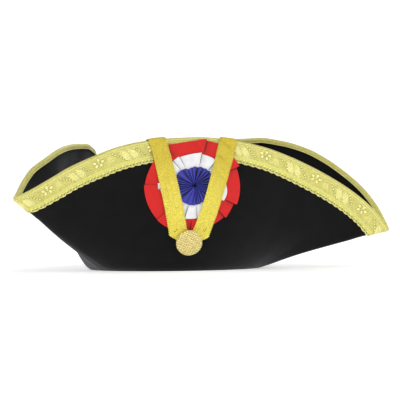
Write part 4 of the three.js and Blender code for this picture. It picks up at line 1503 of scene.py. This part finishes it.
def woven(x, y, pitch):
    """Slanted rows of short threads, each row set off by half a thread: height, and a tone that is painted
    shade in the low gaps between the threads.
    """
    turn = math.radians(24)
    along = x * math.cos(turn) + y * math.sin(turn)
    across = -x * math.sin(turn) + y * math.cos(turn)
    row = np.floor(across / pitch)
    inside = across / pitch - row
    thread = along / (2.1 * pitch) + 0.5 * (row % 2)
    bead = thread - np.floor(thread)
    height = np.sin(np.pi * inside) ** 0.6 * np.sin(np.pi * bead) ** 0.35
    return height, np.clip(1.35 * height - 0.25, 0, 1)


STITCH = {"half_length": 1.3, "size": 0.45 * MM, "over": 0.2 * MM}
STITCH_BLACK = (0.02, 0.02, 0.02)
# Hand stitches on the ribbons: millimetres right and up of the rosette's middle, and heading in degrees
STITCHES = ((-19.4, -45.2, 20.0), (-17.6, -43.6, -35.0), (10.4, -45.4, -15.0), (12.0, -43.8, 40.0))


class HAT_OT_stitches(bpy.types.Operator):
    """Sews the ribbons' lower corners to the felt with short black threads"""
    bl_idname = "hat.stitches"
    bl_label = "Stitches"

    def execute(self, context):
        scene = context.scene
        panel = Panel(scene)
        shapes = Flat()
        for right, up, heading in STITCHES:
            turn = math.radians(heading)
            end = STITCH["half_length"]
            path = [((right + s * math.cos(turn)) * MM, (up + s * math.sin(turn)) * MM)
                    for s in (-end, -0.5, 0.5, end)]
            shapes.thread(path, STITCH["size"], STITCH["size"], 1.0, 0.0)
        mesh = shapes.mesh("stitches")
        top = UNDER_RIBBON + scene.hat_ribbon.thickness + STITCH["over"]

        def place(right, up, height):
            return panel(right, up, height + top + over_discs(np.hypot(right, up), scene.hat_rosette))

        mesh = facing_out(moved(mesh, place))
        piece_from(mesh, stitch_finish(STITCH_BLACK), "black_felt")
        return {"FINISHED"}


# The floor's size in metres, and the glow that makes its paper white
FLOOR = {"flat": 3.0, "curve": 2.0, "top": 4.5, "sides": 64, "glow": 0.49}
SKY = 0.33
# Lamps: name, place, size and watts
LAMPS = (
    ("key", (1.5, -0.9, 2.3), 0.9, 9.5),
    ("fill", (-0.6, -2.3, 1.2), 1.4, 4.0),
    ("rear", (-0.6, 2.2, 2.0), 1.6, 5.0),
)


class HAT_OT_stage(bpy.types.Operator):
    """Sets up the pale floor, the soft lights and the camera"""
    bl_idname = "hat.stage"
    bl_label = "Stage"

    def execute(self, context):
        scene = context.scene
        self.floor(scene)
        self.lights(scene)
        self.camera(scene)
        return {"FINISHED"}

    def floor(self, scene):
        """A round floor that curves up into a wall all the way round, in pale paper."""
        flat, curve, sides = FLOOR["flat"], FLOOR["curve"], FLOOR["sides"]
        profile = [(0.0, 0.0), (1.0, 0.0), (flat, 0.0)]
        profile += [(flat + curve * math.sin(math.radians(a)), curve - curve * math.cos(math.radians(a)))
                    for a in range(10, 91, 10)]
        profile.append((flat + curve, FLOOR["top"]))
        turns = np.arange(sides) / sides * 2 * np.pi
        points = [(0.0, 0.0, 0.0)]
        for reach, height in profile[1:]:
            points.extend((reach * math.cos(t), reach * math.sin(t), height) for t in turns)
        faces = [(0, 1 + k, 1 + (k + 1) % sides) for k in range(sides)]
        faces.extend(tuple(1 + i for i in face)
                     for face in flipped(grid_faces(len(profile) - 1, sides, close_columns=True)))
        mesh = mesh_from("floor", points, faces)
        floor = bpy.data.objects.new("floor", mesh)
        scene.collection.objects.link(floor)
        finish = Finish("floor_paper", roughness=0.9, specular=0.2)
        grain = finish.noise(finish.where(), 40, 3)
        finish.paint(finish.ramp(grain, (0.3, (0.79, 0.79, 0.79)), (0.7, (0.81, 0.81, 0.81))))
        finish.shader.inputs["Emission Color"].default_value = (1.0, 1.0, 1.0, 1.0)
        finish.shader.inputs["Emission Strength"].default_value = FLOOR["glow"]
        mesh.materials.append(finish.material)

    def lights(self, scene):
        world = bpy.data.worlds.new("studio")
        scene.world = world
        world.use_nodes = True
        background = world.node_tree.nodes["Background"]
        background.inputs["Color"].default_value = (1.0, 1.0, 1.0, 1.0)
        background.inputs["Strength"].default_value = SKY
        for name, place, size, power in LAMPS:
            lamp = bpy.data.lights.new(name, "AREA")
            lamp.energy, lamp.size = power, size
            light = bpy.data.objects.new(name, lamp)
            scene.collection.objects.link(light)
            light.location = place
            light.rotation_euler = (-Vector(place)).to_track_quat("-Z", "Y").to_euler()

    def camera(self, scene):
        sizes = scene.hat_stage
        axis_y = the_brim(scene).axis_y
        turn, tilt = math.radians(sizes.azimuth), math.radians(sizes.tilt)
        back = Vector((math.sin(turn), -math.cos(turn), 0))
        right = Vector((math.cos(turn), math.sin(turn), 0))
        forward = -back * math.cos(tilt) + Vector((0, 0, 1)) * math.sin(tilt)
        up = right.cross(forward)
        data = bpy.data.cameras.new("camera")
        data.sensor_width = 36.0
        data.lens = sizes.focal / sizes.frame_width * data.sensor_width
        data.shift_x = (sizes.frame_width / 2 - sizes.axis_x) / sizes.frame_width
        data.shift_y = (sizes.middle_y - sizes.frame_width / 2) / sizes.frame_width
        data.clip_start, data.clip_end = 0.01, 100.0
        camera = bpy.data.objects.new("camera", data)
        scene.collection.objects.link(camera)
        turned = Matrix((right, up, -forward)).transposed().to_4x4()
        place = Matrix.Translation(Vector((0, axis_y, 0)) + back * sizes.distance
                                   + Vector((0, 0, sizes.height)))
        camera.matrix_world = place @ turned @ Matrix.Rotation(math.radians(sizes.roll), 4, "Z")
        scene.camera = camera
        scene.view_settings.view_transform = "Standard"


class HAT_PT_panel(bpy.types.Panel):
    """Lists the hat's pieces in the sidebar"""
    bl_idname = "HAT_PT_panel"
    bl_label = "Tricorn hat"
    bl_space_type = "VIEW_3D"
    bl_region_type = "UI"
    bl_category = "Tricorn"

    def draw(self, context):
        for operator in OPERATORS:
            self.layout.operator(operator.bl_idname)


OPERATORS = (HAT_OT_felt, HAT_OT_braid, HAT_OT_rosette, HAT_OT_ribbons, HAT_OT_button, HAT_OT_stitches,
             HAT_OT_stage)
GROUPS = {"hat_felt": FeltSizes, "hat_braid": BraidSizes, "hat_rosette": RosetteSizes,
          "hat_ribbon": RibbonSizes, "hat_button": ButtonSizes, "hat_stage": StageSizes}


def register():
    for group in (*GROUPS.values(), *OPERATORS, HAT_PT_panel):
        bpy.utils.register_class(group)
    for name, group in GROUPS.items():
        setattr(bpy.types.Scene, name, bpy.props.PointerProperty(type=group))


def unregister():
    for name in GROUPS:
        delattr(bpy.types.Scene, name)
    for group in reversed((*GROUPS.values(), *OPERATORS, HAT_PT_panel)):
        bpy.utils.unregister_class(group)


def main():
    register()
    bpy.ops.hat.felt()
    bpy.ops.hat.braid()
    bpy.ops.hat.rosette()
    bpy.ops.hat.ribbons()
    bpy.ops.hat.button()
    bpy.ops.hat.stitches()
    bpy.ops.hat.stage()


if __name__ == "__main__":
    main()
